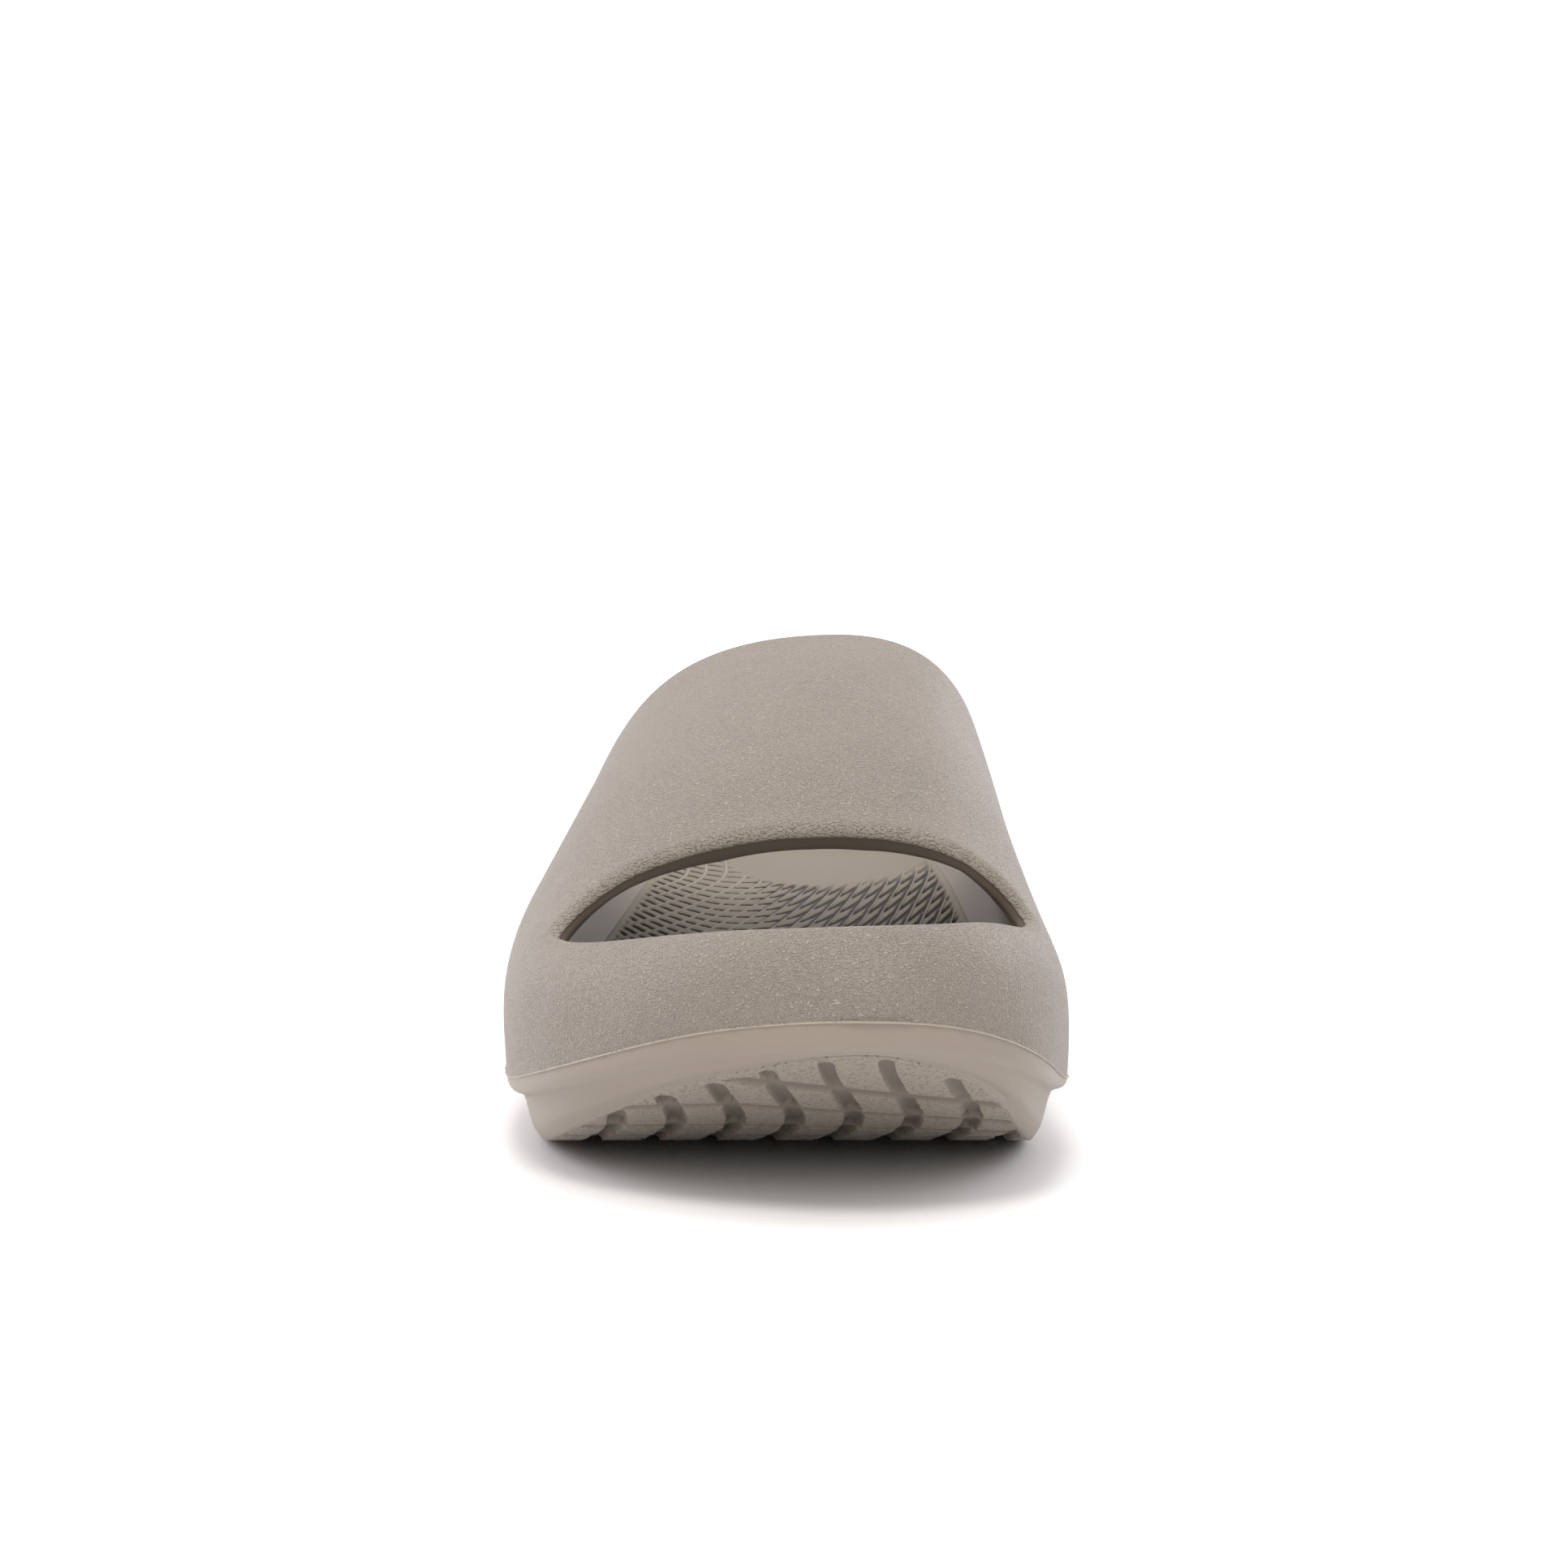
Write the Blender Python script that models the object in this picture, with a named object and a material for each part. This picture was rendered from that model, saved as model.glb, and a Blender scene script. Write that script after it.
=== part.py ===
"""Sport slide sandal for the right foot, moulded in foam: an upper, a sole and a footbed.

Metres, +Z up. The toe points to -Y, the heel to +Y and the big toe's side, called medial, to +X.
The origin is at the centre of the bounding box, on the ground.
"""

import math
from collections import namedtuple

import bmesh
import bpy
import numpy as np
from mathutils import Vector

MM = 0.001

# Driving sizes of the whole sandal
LENGTH = 292 * MM
BALL_WIDTH = 117 * MM
STRAP_HEIGHT = 100 * MM
RIM_RISE = 10 * MM
BED_HEIGHT = 40 * MM
SEAM_HEIGHT = 14.5 * MM

# Sole: how it lifts off the ground, and the steps of its side
TOE_SPRING = 39.5 * MM
TOE_SPRING_START = 0.404 * LENGTH
HEEL_SPRING = 7 * MM
HEEL_SPRING_START = 0.116 * LENGTH
ARCH_RISE = 3 * MM
ARCH_FROM = 0.459 * LENGTH
ARCH_TO = 0.705 * LENGTH
LEDGE_HEIGHT = 3.2 * MM
LEDGE_HEIGHT_AT_TOE = 6 * MM
LEDGE_DEPTH = 3.6 * MM
TREAD_INSET = 7.3 * MM
TREAD_INSET_AT_TOE = 10 * MM
TREAD_EDGE_ROUND = 1 * MM

# The section of the sole's side, from the seam down to the tread. A ledge's row holds shares
# of the ledge's depth and height, and a recess's row shares of what is left below the ledge.
SideRow = namedtuple("SideRow", "inset fall")
LEDGE_ROWS = (
    SideRow(0.00, 0.00),
    SideRow(0.06, 0.50),
    SideRow(0.30, 0.86),
    SideRow(0.68, 1.00),
)
RECESS_ROWS = (
    SideRow(0.00, 0.06),
    SideRow(0.16, 0.22),
    SideRow(0.42, 0.58),
)

# Tread: wavy grooves that run lengthwise under the ball of the foot and under the heel
GROOVE_PITCH = 11.8 * MM
GROOVE_WIDTH = 4.6 * MM
GROOVE_DEPTH = 2.2 * MM
GROOVE_WAVE = 3 * MM
GROOVE_WAVE_LENGTH = 76 * MM
GROOVE_WAVE_PEAK = 48 * MM
GROOVE_MARGIN = 0.8 * MM
GROOVE_FOREFOOT_END = 0.438 * LENGTH
GROOVE_HEEL_START = 0.726 * LENGTH
GROOVE_MIDDLE_ACROSS = -1.5 * MM

# A groove's section: rise is a share of its depth and side a share of half its width
GrooveRow = namedtuple("GrooveRow", "rise side")
GROOVE_ROWS = (
    GrooveRow(-1.00, -1.35),
    GrooveRow(-1.00, 1.35),
    GrooveRow(0.75, 0.85),
    GrooveRow(1.00, 0.40),
    GrooveRow(1.00, -0.40),
    GrooveRow(0.75, -0.85),
)

# Upper: its outer wall, whose fullness is a share of its rise at the seam and at the rim
SEAM_TUCK = 0.3 * MM
RIM_TUCK = 8 * MM
WALL_FULLNESS_LOW = 0.36
WALL_FULLNESS_HIGH = 0.42

# Strap: the thickness of its wall and the rolled rim round the two openings
STRAP_WALL = 5 * MM
RIM_ROLL = 0.52 * STRAP_WALL
INNER_ROUND = 0.16 * STRAP_WALL
ROLL_ANGLES = (30, 60, 90)

# Strap: where its front and back edges cross the ridge, the ridge's slope there in degrees,
# how strongly the edges sweep as they come down, and how they round into the side walls' rims.
# A corner's share is the part of the way from rim to ridge that the rounding takes.
FRONT_EDGE_ALONG = 0.223 * LENGTH
FRONT_EDGE_HEIGHT = 73 * MM
FRONT_EDGE_ACROSS = 6 * MM
FRONT_SLOPE = 26
FRONT_EDGE_SWEEP = 2
TOE_CORNER_ALONG = 0.250 * LENGTH
TOE_CORNER_ROUND = 8 * MM
TOE_CORNER_SHARE = 0.24
BACK_EDGE_ALONG = 0.514 * LENGTH
BACK_EDGE_ACROSS = 11 * MM
BACK_SLOPE = 9
BACK_EDGE_SWEEP = 2.5
COLLAR_CORNER_ALONG = 0.781 * LENGTH
COLLAR_CORNER_ROUND = 28 * MM
COLLAR_CORNER_SHARE = 0.15

# How full a strap section is, as shares of its rise and of half its width: beside the foot
# of the section and beside its ridge, on each side of the front edge and of the back edge
Fullness = namedtuple("Fullness", "foot_lateral foot_medial ridge_lateral ridge_medial")
FRONT_FULLNESS = Fullness(0.60, 0.50, 0.50, 0.56)
BACK_FULLNESS = Fullness(0.66, 0.60, 0.65, 0.70)

# Footbed panel, the floor under it, and the smooth band of the inner wall that borders it
PANEL_INSET = 15 * MM
PANEL_THICKNESS = 4 * MM
CORE_SHARE = 0.68
HEEL_CUP = 2.5 * MM
ARCH_SUPPORT = 3.5 * MM
ARCH_SUPPORT_AT = 0.55
ARCH_SUPPORT_REACH = 0.16
BED_FOLLOWS_SEAM = 0.6
INNER_WALL_LEAN = 28
INNER_WALL_FULLNESS = 0.6
BAND_SLOPE = 20
CLEARANCE = 0.3 * MM

# One row for each station from toe to heel. Lengths are shares of the sizes above: along of
# LENGTH, lateral and medial of half the BALL_WIDTH, seam of TOE_SPRING above SEAM_HEIGHT, rim
# of RIM_RISE above the footbed, tuck of RIM_TUCK, panel of PANEL_INSET and bed of BED_HEIGHT.
# lean is degrees off upright. A name that ends in _l is for the lateral side, in _m medial.
Station = namedtuple(
    "Station", "along lateral medial seam rim_l rim_m tuck_l tuck_m lean_l lean_m panel_l panel_m bed"
)
STATIONS = (
    Station(0.000, 0.24, 0.24, 0.684, 1.01, 1.01, 1.06, 1.06, 58, 58, 1.05, 1.05, 0.795),
    Station(0.031, -0.24, 0.62, 0.602, 0.94, 1.08, 1.06, 1.06, 58, 58, 1.05, 1.05, 0.813),
    Station(0.099, -0.63, 0.85, 0.397, 0.87, 1.20, 1.00, 0.94, 54, 50, 1.05, 1.00, 0.845),
    Station(0.195, -0.885, 0.94, 0.185, 0.95, 1.24, 0.66, 0.60, 46, 40, 1.10, 0.95, 0.840),
    Station(0.308, -0.985, 0.985, 0.041, 1.26, 1.46, 0.62, 0.74, 33, 24, 1.12, 0.92, 0.836),
    Station(0.428, -0.995, 0.945, 0.000, 1.44, 1.54, 0.64, 0.64, 29, 18, 1.15, 0.90, 0.840),
    Station(0.548, -0.94, 0.89, 0.000, 1.42, 1.52, 0.60, 0.45, 28, 16, 1.18, 0.90, 0.880),
    Station(0.668, -0.88, 0.84, 0.000, 1.28, 1.33, 0.55, 0.44, 24, 14, 1.25, 0.88, 0.940),
    Station(0.781, -0.83, 0.80, 0.014, 0.83, 0.83, 0.52, 0.50, 18, 16, 1.30, 0.92, 0.972),
    Station(0.877, -0.72, 0.73, 0.034, 0.70, 0.70, 0.52, 0.52, 16, 16, 1.20, 1.00, 0.980),
    Station(0.962, -0.41, 0.48, 0.062, 0.72, 0.72, 0.54, 0.54, 15, 15, 1.10, 1.05, 0.983),
    Station(1.000, 0.04, 0.04, 0.075, 0.74, 0.74, 0.56, 0.56, 14, 14, 1.10, 1.10, 0.995),
)
LAST = len(STATIONS) - 1

# How finely the solids are divided
TOE_STEPS = 9
STRAP_STEPS = 10
HEEL_STEPS = 11
WALL_STEPS = 6
ARCH_STEPS = 24
INNER_STEPS = 5
ACROSS_STEPS = 8
GROOVE_STEP = 6 * MM
FOOT_CROWDING = 1.25


def closed_spline(values):
    """A smooth curve through the values, one at each whole number, that repeats after the last."""
    values = np.asarray(values, float)
    count = len(values)
    place = np.arange(count)
    matrix = np.zeros((count, count))
    matrix[place, place] = 4
    matrix[place, place - 1] = 1
    matrix[place, (place + 1) % count] = 1
    bends = np.linalg.solve(matrix, 6 * (np.roll(values, 1) - 2 * values + np.roll(values, -1)))

    def at(turn):
        low = np.floor(turn).astype(int) % count
        high = (low + 1) % count
        after = turn - np.floor(turn)
        before = 1 - after
        return (
            before * values[low]
            + after * values[high]
            + ((before**3 - before) * bends[low] + (after**3 - after) * bends[high]) / 6
        )

    return at


def around(lateral, medial):
    """A column's values all round the sandal: toe to heel on the lateral side, and back on the medial."""
    down = [getattr(row, lateral) for row in STATIONS]
    back = [getattr(row, medial) for row in STATIONS]
    return closed_spline(down + back[-2:0:-1])


ALONG = around("along", "along")
ACROSS = around("lateral", "medial")
SEAM = around("seam", "seam")
RIM = around("rim_l", "rim_m")
TUCK = around("tuck_l", "tuck_m")
LEAN = around("lean_l", "lean_m")
PANEL = around("panel_l", "panel_m")
BED = around("bed", "bed")

STATION_SAMPLES = np.linspace(0, LAST, 400)
ALONG_SAMPLES = ALONG(STATION_SAMPLES) * LENGTH


def station_at(along):
    """The station at a distance behind the toe tip."""
    return float(np.interp(along, ALONG_SAMPLES, STATION_SAMPLES))


def outline(turn):
    """The point of the widest outline at a turn, seen from above."""
    return np.array([ACROSS(turn) * BALL_WIDTH / 2, (ALONG(turn) - 0.5) * LENGTH])


def outward(turn):
    """The outline's unit normal, away from the sandal."""
    step = 0.01
    run = outline(turn + step) - outline(turn - step)
    run /= np.hypot(*run)
    return np.array([-run[1], run[0]])


def inset_point(turn, inset, height):
    """A point at a height, set in from the widest outline."""
    x, y = outline(turn) - outward(turn) * inset
    return Vector((x, y, height))


def bezier(points, steps):
    """The points of a cubic curve with four control points."""
    a, b, c, d = points
    curve = []
    for step in range(steps + 1):
        t = step / steps
        s = 1 - t
        curve.append(a * s**3 + b * (3 * s * s * t) + c * (3 * s * t * t) + d * t**3)
    return curve


def toe_share(turn):
    """1 at the toe tip, falling to 0 at the ball of the foot."""
    reach = TOE_SPRING_START / LENGTH
    return max(0.0, 1 - float(ALONG(turn)) / reach) ** 2


def tread_height(y):
    """How far the tread is off the ground at a place along the sandal."""
    along = y + LENGTH / 2
    toe = max(0.0, 1 - along / TOE_SPRING_START)
    heel = max(0.0, 1 - (LENGTH - along) / HEEL_SPRING_START)
    arch = min(1.0, max(0.0, (along - ARCH_FROM) / (ARCH_TO - ARCH_FROM)))
    return TOE_SPRING * toe**2 + HEEL_SPRING * heel**2 + ARCH_RISE * math.sin(math.pi * arch) ** 2


def panel_inset(turn):
    return float(PANEL(turn)) * PANEL_INSET


def bed_at(turn):
    """The height of the footbed along its middle, which follows the seam's lift at toe and heel."""
    return float(BED(turn)) * BED_HEIGHT + float(SEAM(turn)) * TOE_SPRING * BED_FOLLOWS_SEAM


def bed_height(x, y):
    """The footbed's surface: sprung at the toe, cupped at the heel, and raised under the arch."""
    station = station_at(y + LENGTH / 2)
    lateral = ACROSS(station) * BALL_WIDTH / 2
    medial = ACROSS(2 * LAST - station) * BALL_WIDTH / 2
    side = (2 * x - lateral - medial) / max(medial - lateral, PANEL_INSET)
    share = station / LAST
    cup = HEEL_CUP * side * side * share
    reach = (share - ARCH_SUPPORT_AT) / ARCH_SUPPORT_REACH
    arch = ARCH_SUPPORT * max(0.0, side) ** 2 * math.exp(-(reach**2))
    return bed_at(station) + cup + arch


def seam_height(turn):
    return SEAM_HEIGHT + float(SEAM(turn)) * TOE_SPRING


def seam_point(turn):
    return inset_point(turn, SEAM_TUCK, seam_height(turn))


def rim_point(turn):
    return inset_point(turn, float(TUCK(turn)) * RIM_TUCK, bed_at(turn) + float(RIM(turn)) * RIM_RISE)


def rim_direction(turn, most_lean=90):
    """The way the wall runs up and inwards where it reaches the rim line."""
    lean = math.radians(min(float(LEAN(turn)), most_lean))
    x, y = -outward(turn) * math.sin(lean)
    return Vector((x, y, math.cos(lean)))


def outer_wall(turn, steps):
    """The outside of the wall, from the seam up to the rim line."""
    seam = seam_point(turn)
    rim = rim_point(turn)
    rise = rim.z - seam.z
    x, y = outward(turn) * SEAM_TUCK * 2
    low = seam + Vector((x, y, rise * WALL_FULLNESS_LOW))
    high = rim - rim_direction(turn) * rise * WALL_FULLNESS_HIGH
    return bezier((seam, low, high, rim), steps)


def ridge_point(station):
    """The top of the strap's section at a station, which goes on straight behind the back edge."""
    along = float(ALONG(station)) * LENGTH
    span = BACK_EDGE_ALONG - FRONT_EDGE_ALONG
    share = (along - FRONT_EDGE_ALONG) / span
    t = min(1.0, max(0.0, share))
    start = math.tan(math.radians(FRONT_SLOPE)) * span
    end = math.tan(math.radians(BACK_SLOPE)) * span
    rise = STRAP_HEIGHT - FRONT_EDGE_HEIGHT
    height = rise * (3 - 2 * t) * t * t + start * t * (1 - t) ** 2 - end * t * t * (1 - t)
    beyond = end * max(0.0, share - 1) + start * min(0.0, share)
    across = FRONT_EDGE_ACROSS + (BACK_EDGE_ACROSS - FRONT_EDGE_ACROSS) * t
    return Vector((across, along - LENGTH / 2, FRONT_EDGE_HEIGHT + height + beyond))


def strap_point(turn, v):
    """A point of the strap's section: v is 0 at the rim line of its side and 1 at the ridge."""
    lateral = turn <= LAST
    station = turn if lateral else 2 * LAST - turn
    foot = rim_point(turn)
    ridge = ridge_point(station)
    along = float(ALONG(station)) * LENGTH
    share = min(1.0, max(0.0, (along - FRONT_EDGE_ALONG) / (BACK_EDGE_ALONG - FRONT_EDGE_ALONG)))
    full = [a + (b - a) * share for a, b in zip(FRONT_FULLNESS, BACK_FULLNESS)]
    by_foot, by_ridge = (full[0], full[2]) if lateral else (full[1], full[3])
    low = foot + rim_direction(turn) * (ridge.z - foot.z) * by_foot
    high = ridge + Vector(((foot.x - ridge.x) * by_ridge, 0, 0))
    u = 1 - v
    return foot * u**3 + low * (3 * u * u * v) + high * (3 * u * v * v) + ridge * v**3


def corner_round(v, share):
    """How much of a corner's rounding is taken at v: all of it at the rim, none above its share."""
    left = max(0.0, 1 - v / share)
    return 1 - math.sqrt(1 - left * left)


def front_edge(v):
    """How far behind the toe tip the strap's front edge lies, with its corner rounded."""
    sweep = (TOE_CORNER_ALONG - FRONT_EDGE_ALONG) * (1 - v) ** FRONT_EDGE_SWEEP
    return FRONT_EDGE_ALONG + sweep - TOE_CORNER_ROUND * corner_round(v, TOE_CORNER_SHARE)


def back_edge(v):
    """How far behind the toe tip the strap's back edge lies, as it sweeps down to the rim."""
    reach = COLLAR_CORNER_ALONG - COLLAR_CORNER_ROUND - BACK_EDGE_ALONG
    sweep = reach * (1 - v) ** BACK_EDGE_SWEEP
    return BACK_EDGE_ALONG + sweep + COLLAR_CORNER_ROUND * corner_round(v, COLLAR_CORNER_SHARE)


def strap_half(share, steps, lateral):
    """Half a row of the strap, from its rim line up to the ridge: share 0 is the front edge."""
    points = []
    for step in range(steps + 1):
        v = (step / steps) ** FOOT_CROWDING
        front = station_at(front_edge(v))
        station = front + (station_at(back_edge(v)) - front) * share
        points.append(strap_point(station if lateral else 2 * LAST - station, v))
    return points


def strap_row(share, steps):
    """A whole row of the strap, from the lateral rim line over the ridge to the medial one."""
    return strap_half(share, steps // 2, True) + strap_half(share, steps // 2, False)[-2::-1]


TOE_OPENING_END = station_at(front_edge(0))
COLLAR_END = station_at(back_edge(0))


def stations():
    """The stations of the mesh from toe to heel, closer together at the ends."""
    toe = [TOE_OPENING_END * (step / TOE_STEPS) for step in range(TOE_STEPS)]
    span = COLLAR_END - TOE_OPENING_END
    strap = [TOE_OPENING_END + span * step / STRAP_STEPS for step in range(STRAP_STEPS)]
    heel = [COLLAR_END + (LAST - COLLAR_END) * step / HEEL_STEPS for step in range(HEEL_STEPS + 1)]
    return toe + strap + heel


def ring_turns():
    """The turns of the mesh's columns: toe to heel on the lateral side, and back on the medial."""
    down = stations()
    return down + [2 * LAST - station for station in down[-2:0:-1]]


def add_strip(mesh, rows, closed=True):
    """Joins each row of points to the next with faces."""
    corners = [[mesh.verts.new(point) for point in row] for row in rows]
    for low, high in zip(corners, corners[1:]):
        count = len(low)
        for this in range(count if closed else count - 1):
            following = (this + 1) % count
            mesh.faces.new((low[this], low[following], high[following], high[this]))


def add_cross_fill(mesh, loop, height, steps):
    """Closes a loop of points with rows from side to side, at a height that a function gives."""
    last = len(loop) // 2
    rows = []
    for place in range(last + 1):
        lateral = loop[place]
        medial = loop[-place % len(loop)]
        row = [lateral.lerp(medial, step / steps) for step in range(steps + 1)]
        inside = [Vector((p.x, p.y, height(p.x, p.y))) for p in row[1:-1]]
        rows.append([lateral] + inside + [medial])
    rows[0] = [loop[0]] * (steps + 1)
    rows[last] = [loop[last]] * (steps + 1)
    add_strip(mesh, rows, closed=False)


def finish_solid(name, mesh, material):
    """Closes the strips into one solid with its faces outwards and makes its object."""
    bmesh.ops.remove_doubles(mesh, verts=mesh.verts[:], dist=0.00001)
    bmesh.ops.recalc_face_normals(mesh, faces=mesh.faces[:])
    data = bpy.data.meshes.new(name)
    mesh.to_mesh(data)
    mesh.free()
    data.materials.append(material)
    data.shade_smooth()
    data.set_sharp_from_angle(angle=math.radians(40))
    solid = bpy.data.objects.new(name, data)
    bpy.context.scene.collection.objects.link(solid)
    return solid


def foam_material(name, colour, roughness):
    material = bpy.data.materials.new(name)
    material.use_nodes = True
    shader = material.node_tree.nodes["Principled BSDF"]
    shader.inputs["Base Color"].default_value = (*colour, 1)
    shader.inputs["Roughness"].default_value = roughness
    shader.inputs["Metallic"].default_value = 0
    return material


def skin_normals(ring, strap, strap_from):
    """The normals of the outer skin at the rim line and on the strap."""
    mesh = bmesh.new()
    walls = [[mesh.verts.new(point) for point in column] for column in ring]
    count = len(walls)
    for this in range(count):
        following = (this + 1) % count
        for row in range(len(walls[0]) - 1):
            mesh.faces.new(
                (walls[this][row], walls[this][row + 1], walls[following][row + 1], walls[following][row])
            )
    bridge = []
    for place, section in enumerate(strap):
        column = strap_from + place
        inside = [mesh.verts.new(point) for point in section[1:-1]]
        bridge.append([walls[column][-1]] + inside + [walls[-column][-1]])
    for low, high in zip(bridge, bridge[1:]):
        for row in range(len(low) - 1):
            mesh.faces.new((low[row + 1], high[row + 1], high[row], low[row]))
    mesh.normal_update()
    rim = [column[-1].normal.copy() for column in walls]
    over = [[vertex.normal.copy() for vertex in section] for section in bridge]
    mesh.free()
    return rim, over


def rim_roll(points, normals, turn_sign):
    """The rows of a rolled rim along a closed loop, from the outer skin round to the inner one."""
    count = len(points)
    face = STRAP_WALL - RIM_ROLL - INNER_ROUND
    profiles = []
    for place in range(count):
        point, normal = points[place], normals[place]
        run = (points[(place + 1) % count] - points[place - 1]).normalized()
        into = normal.cross(run).normalized() * turn_sign
        centre = point - normal * RIM_ROLL
        profile = [point]
        for angle in ROLL_ANGLES:
            bend = math.radians(angle)
            profile.append(centre + (normal * math.cos(bend) + into * math.sin(bend)) * RIM_ROLL)
        profile.append(profile[-1] - normal * face)
        profile.append(point - normal * STRAP_WALL + into * (RIM_ROLL - INNER_ROUND))
        profile.append(point - normal * STRAP_WALL)
        profiles.append(profile)
    return [list(row) for row in zip(*profiles)]


def inner_wall(turn, top, steps):
    """The inside of the wall, from the inner skin down and in to the edge of the footbed panel."""
    inset = panel_inset(turn)
    x, y = outline(turn) - outward(turn) * inset
    edge = Vector((x, y, bed_height(x, y)))
    low = top - rim_direction(turn, INNER_WALL_LEAN) * (top.z - edge.z) * INNER_WALL_FULLNESS
    slope = math.radians(BAND_SLOPE)
    out_x, out_y = outward(turn) * math.cos(slope)
    band = Vector((out_x, out_y, math.sin(slope))) * inset * (1 - CORE_SHARE)
    return bezier((top, low, edge + band, edge), steps)


def make_upper(material):
    """The foam body: toe bumper, side walls, strap and heel rim, open at the toe, collar and underneath."""
    turns = ring_turns()
    count = len(turns)
    ring = [outer_wall(turn, WALL_STEPS) for turn in turns]
    strap = []
    for step in range(STRAP_STEPS + 1):
        strap.append(strap_row(step / STRAP_STEPS, ARCH_STEPS))
    rim_normals, strap_normals = skin_normals(ring, strap, TOE_STEPS)
    mesh = bmesh.new()
    add_strip(mesh, [[column[row] for column in ring] for row in range(WALL_STEPS + 1)])
    add_strip(mesh, strap, closed=False)
    inner_strap = []
    for section, normals in zip(strap, strap_normals):
        inner_strap.append([point - normal * STRAP_WALL for point, normal in zip(section, normals)])
    add_strip(mesh, inner_strap, closed=False)

    toe_columns = [place % count for place in range(TOE_STEPS, -TOE_STEPS - 1, -1)]
    toe_loop = [ring[column][-1] for column in toe_columns] + strap[0][-2:0:-1]
    toe_normals = [rim_normals[column] for column in toe_columns] + strap_normals[0][-2:0:-1]
    collar_from = TOE_STEPS + STRAP_STEPS
    collar_columns = list(range(collar_from, count - collar_from + 1))
    collar_loop = [ring[column][-1] for column in collar_columns] + strap[-1][-2:0:-1]
    collar_normals = [rim_normals[column] for column in collar_columns] + strap_normals[-1][-2:0:-1]
    add_strip(mesh, rim_roll(toe_loop, toe_normals, 1))
    add_strip(mesh, rim_roll(collar_loop, collar_normals, -1))

    inside = []
    for turn, column, normal in zip(turns, ring, rim_normals):
        wall = inner_wall(turn, column[-1] - normal * STRAP_WALL, INNER_STEPS)
        edge = wall[-1]
        below = edge - Vector((0, 0, PANEL_THICKNESS))
        x, y = outline(turn) - outward(turn) * panel_inset(turn) * CORE_SHARE
        corner = Vector((x, y, bed_height(x, y) - PANEL_THICKNESS))
        foot = Vector((x, y, seam_height(turn)))
        inside.append(wall + [below, corner, foot, seam_point(turn)])
    add_strip(mesh, [[column[row] for column in inside] for row in range(len(inside[0]))])
    return finish_solid("upper", mesh, material)


def sole_side(turn):
    """The points of the sole's side, from the edge of its core down to the tread."""
    core_x, core_y = outline(turn) - outward(turn) * (panel_inset(turn) * CORE_SHARE + CLEARANCE)
    core_top = bed_height(core_x, core_y) - PANEL_THICKNESS - CLEARANCE
    seam = seam_height(turn) - CLEARANCE
    toe = toe_share(turn)
    ledge = LEDGE_HEIGHT + (LEDGE_HEIGHT_AT_TOE - LEDGE_HEIGHT) * toe
    inset = TREAD_INSET + (TREAD_INSET_AT_TOE - TREAD_INSET) * toe
    tread = tread_height((outline(turn) - outward(turn) * inset)[1])
    under = seam - ledge
    side = [Vector((core_x, core_y, core_top)), Vector((core_x, core_y, seam))]
    for row in LEDGE_ROWS:
        step_in = SEAM_TUCK + (LEDGE_DEPTH - SEAM_TUCK) * row.inset
        side.append(inset_point(turn, step_in, seam - ledge * row.fall))
    for row in RECESS_ROWS:
        step_in = LEDGE_DEPTH + (inset - LEDGE_DEPTH) * row.inset
        side.append(inset_point(turn, step_in, under - (under - tread) * row.fall))
    side.append(inset_point(turn, inset - TREAD_EDGE_ROUND / 2, tread + TREAD_EDGE_ROUND))
    side.append(inset_point(turn, inset + TREAD_EDGE_ROUND / 2, tread))
    return side


def make_sole(material):
    """The smooth sole unit: stepped side, sprung tread, and a core that fills the upper from below."""
    sides = [sole_side(turn) for turn in ring_turns()]
    mesh = bmesh.new()
    rows = [[side[row] for side in sides] for row in range(len(sides[0]))]
    add_strip(mesh, rows)
    floor_of_bed = PANEL_THICKNESS + CLEARANCE
    add_cross_fill(mesh, rows[0], lambda x, y: bed_height(x, y) - floor_of_bed, ACROSS_STEPS)
    add_cross_fill(mesh, rows[-1], lambda x, y: tread_height(y), ACROSS_STEPS)
    return finish_solid("sole", mesh, material)


def groove_centre(line, along):
    """How far to the side a groove's wavy line lies, at a distance behind the toe tip."""
    wave = math.cos(2 * math.pi * (along - GROOVE_WAVE_PEAK) / GROOVE_WAVE_LENGTH)
    return line * GROOVE_PITCH + GROOVE_MIDDLE_ACROSS + GROOVE_WAVE * wave


def groove_section(line, along):
    """The points round the bar that cuts a groove, at a distance behind the toe tip."""
    y = along - LENGTH / 2
    tread = tread_height(y)
    points = []
    for row in GROOVE_ROWS:
        x = groove_centre(line, along) + row.side * GROOVE_WIDTH / 2
        points.append(Vector((x, y, tread + row.rise * GROOVE_DEPTH)))
    return points


def groove_reach(line, start, end):
    """The places along a groove's line where it stays clear of the tread's edge."""
    edge = TREAD_INSET + GROOVE_WIDTH / 2 + GROOVE_MARGIN
    inside = []
    for along in np.arange(start, end, GROOVE_STEP):
        station = station_at(along)
        lateral = ACROSS(station) * BALL_WIDTH / 2 + edge
        medial = ACROSS(2 * LAST - station) * BALL_WIDTH / 2 - edge
        if lateral < groove_centre(line, along) < medial:
            inside.append(along)
    return inside


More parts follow.
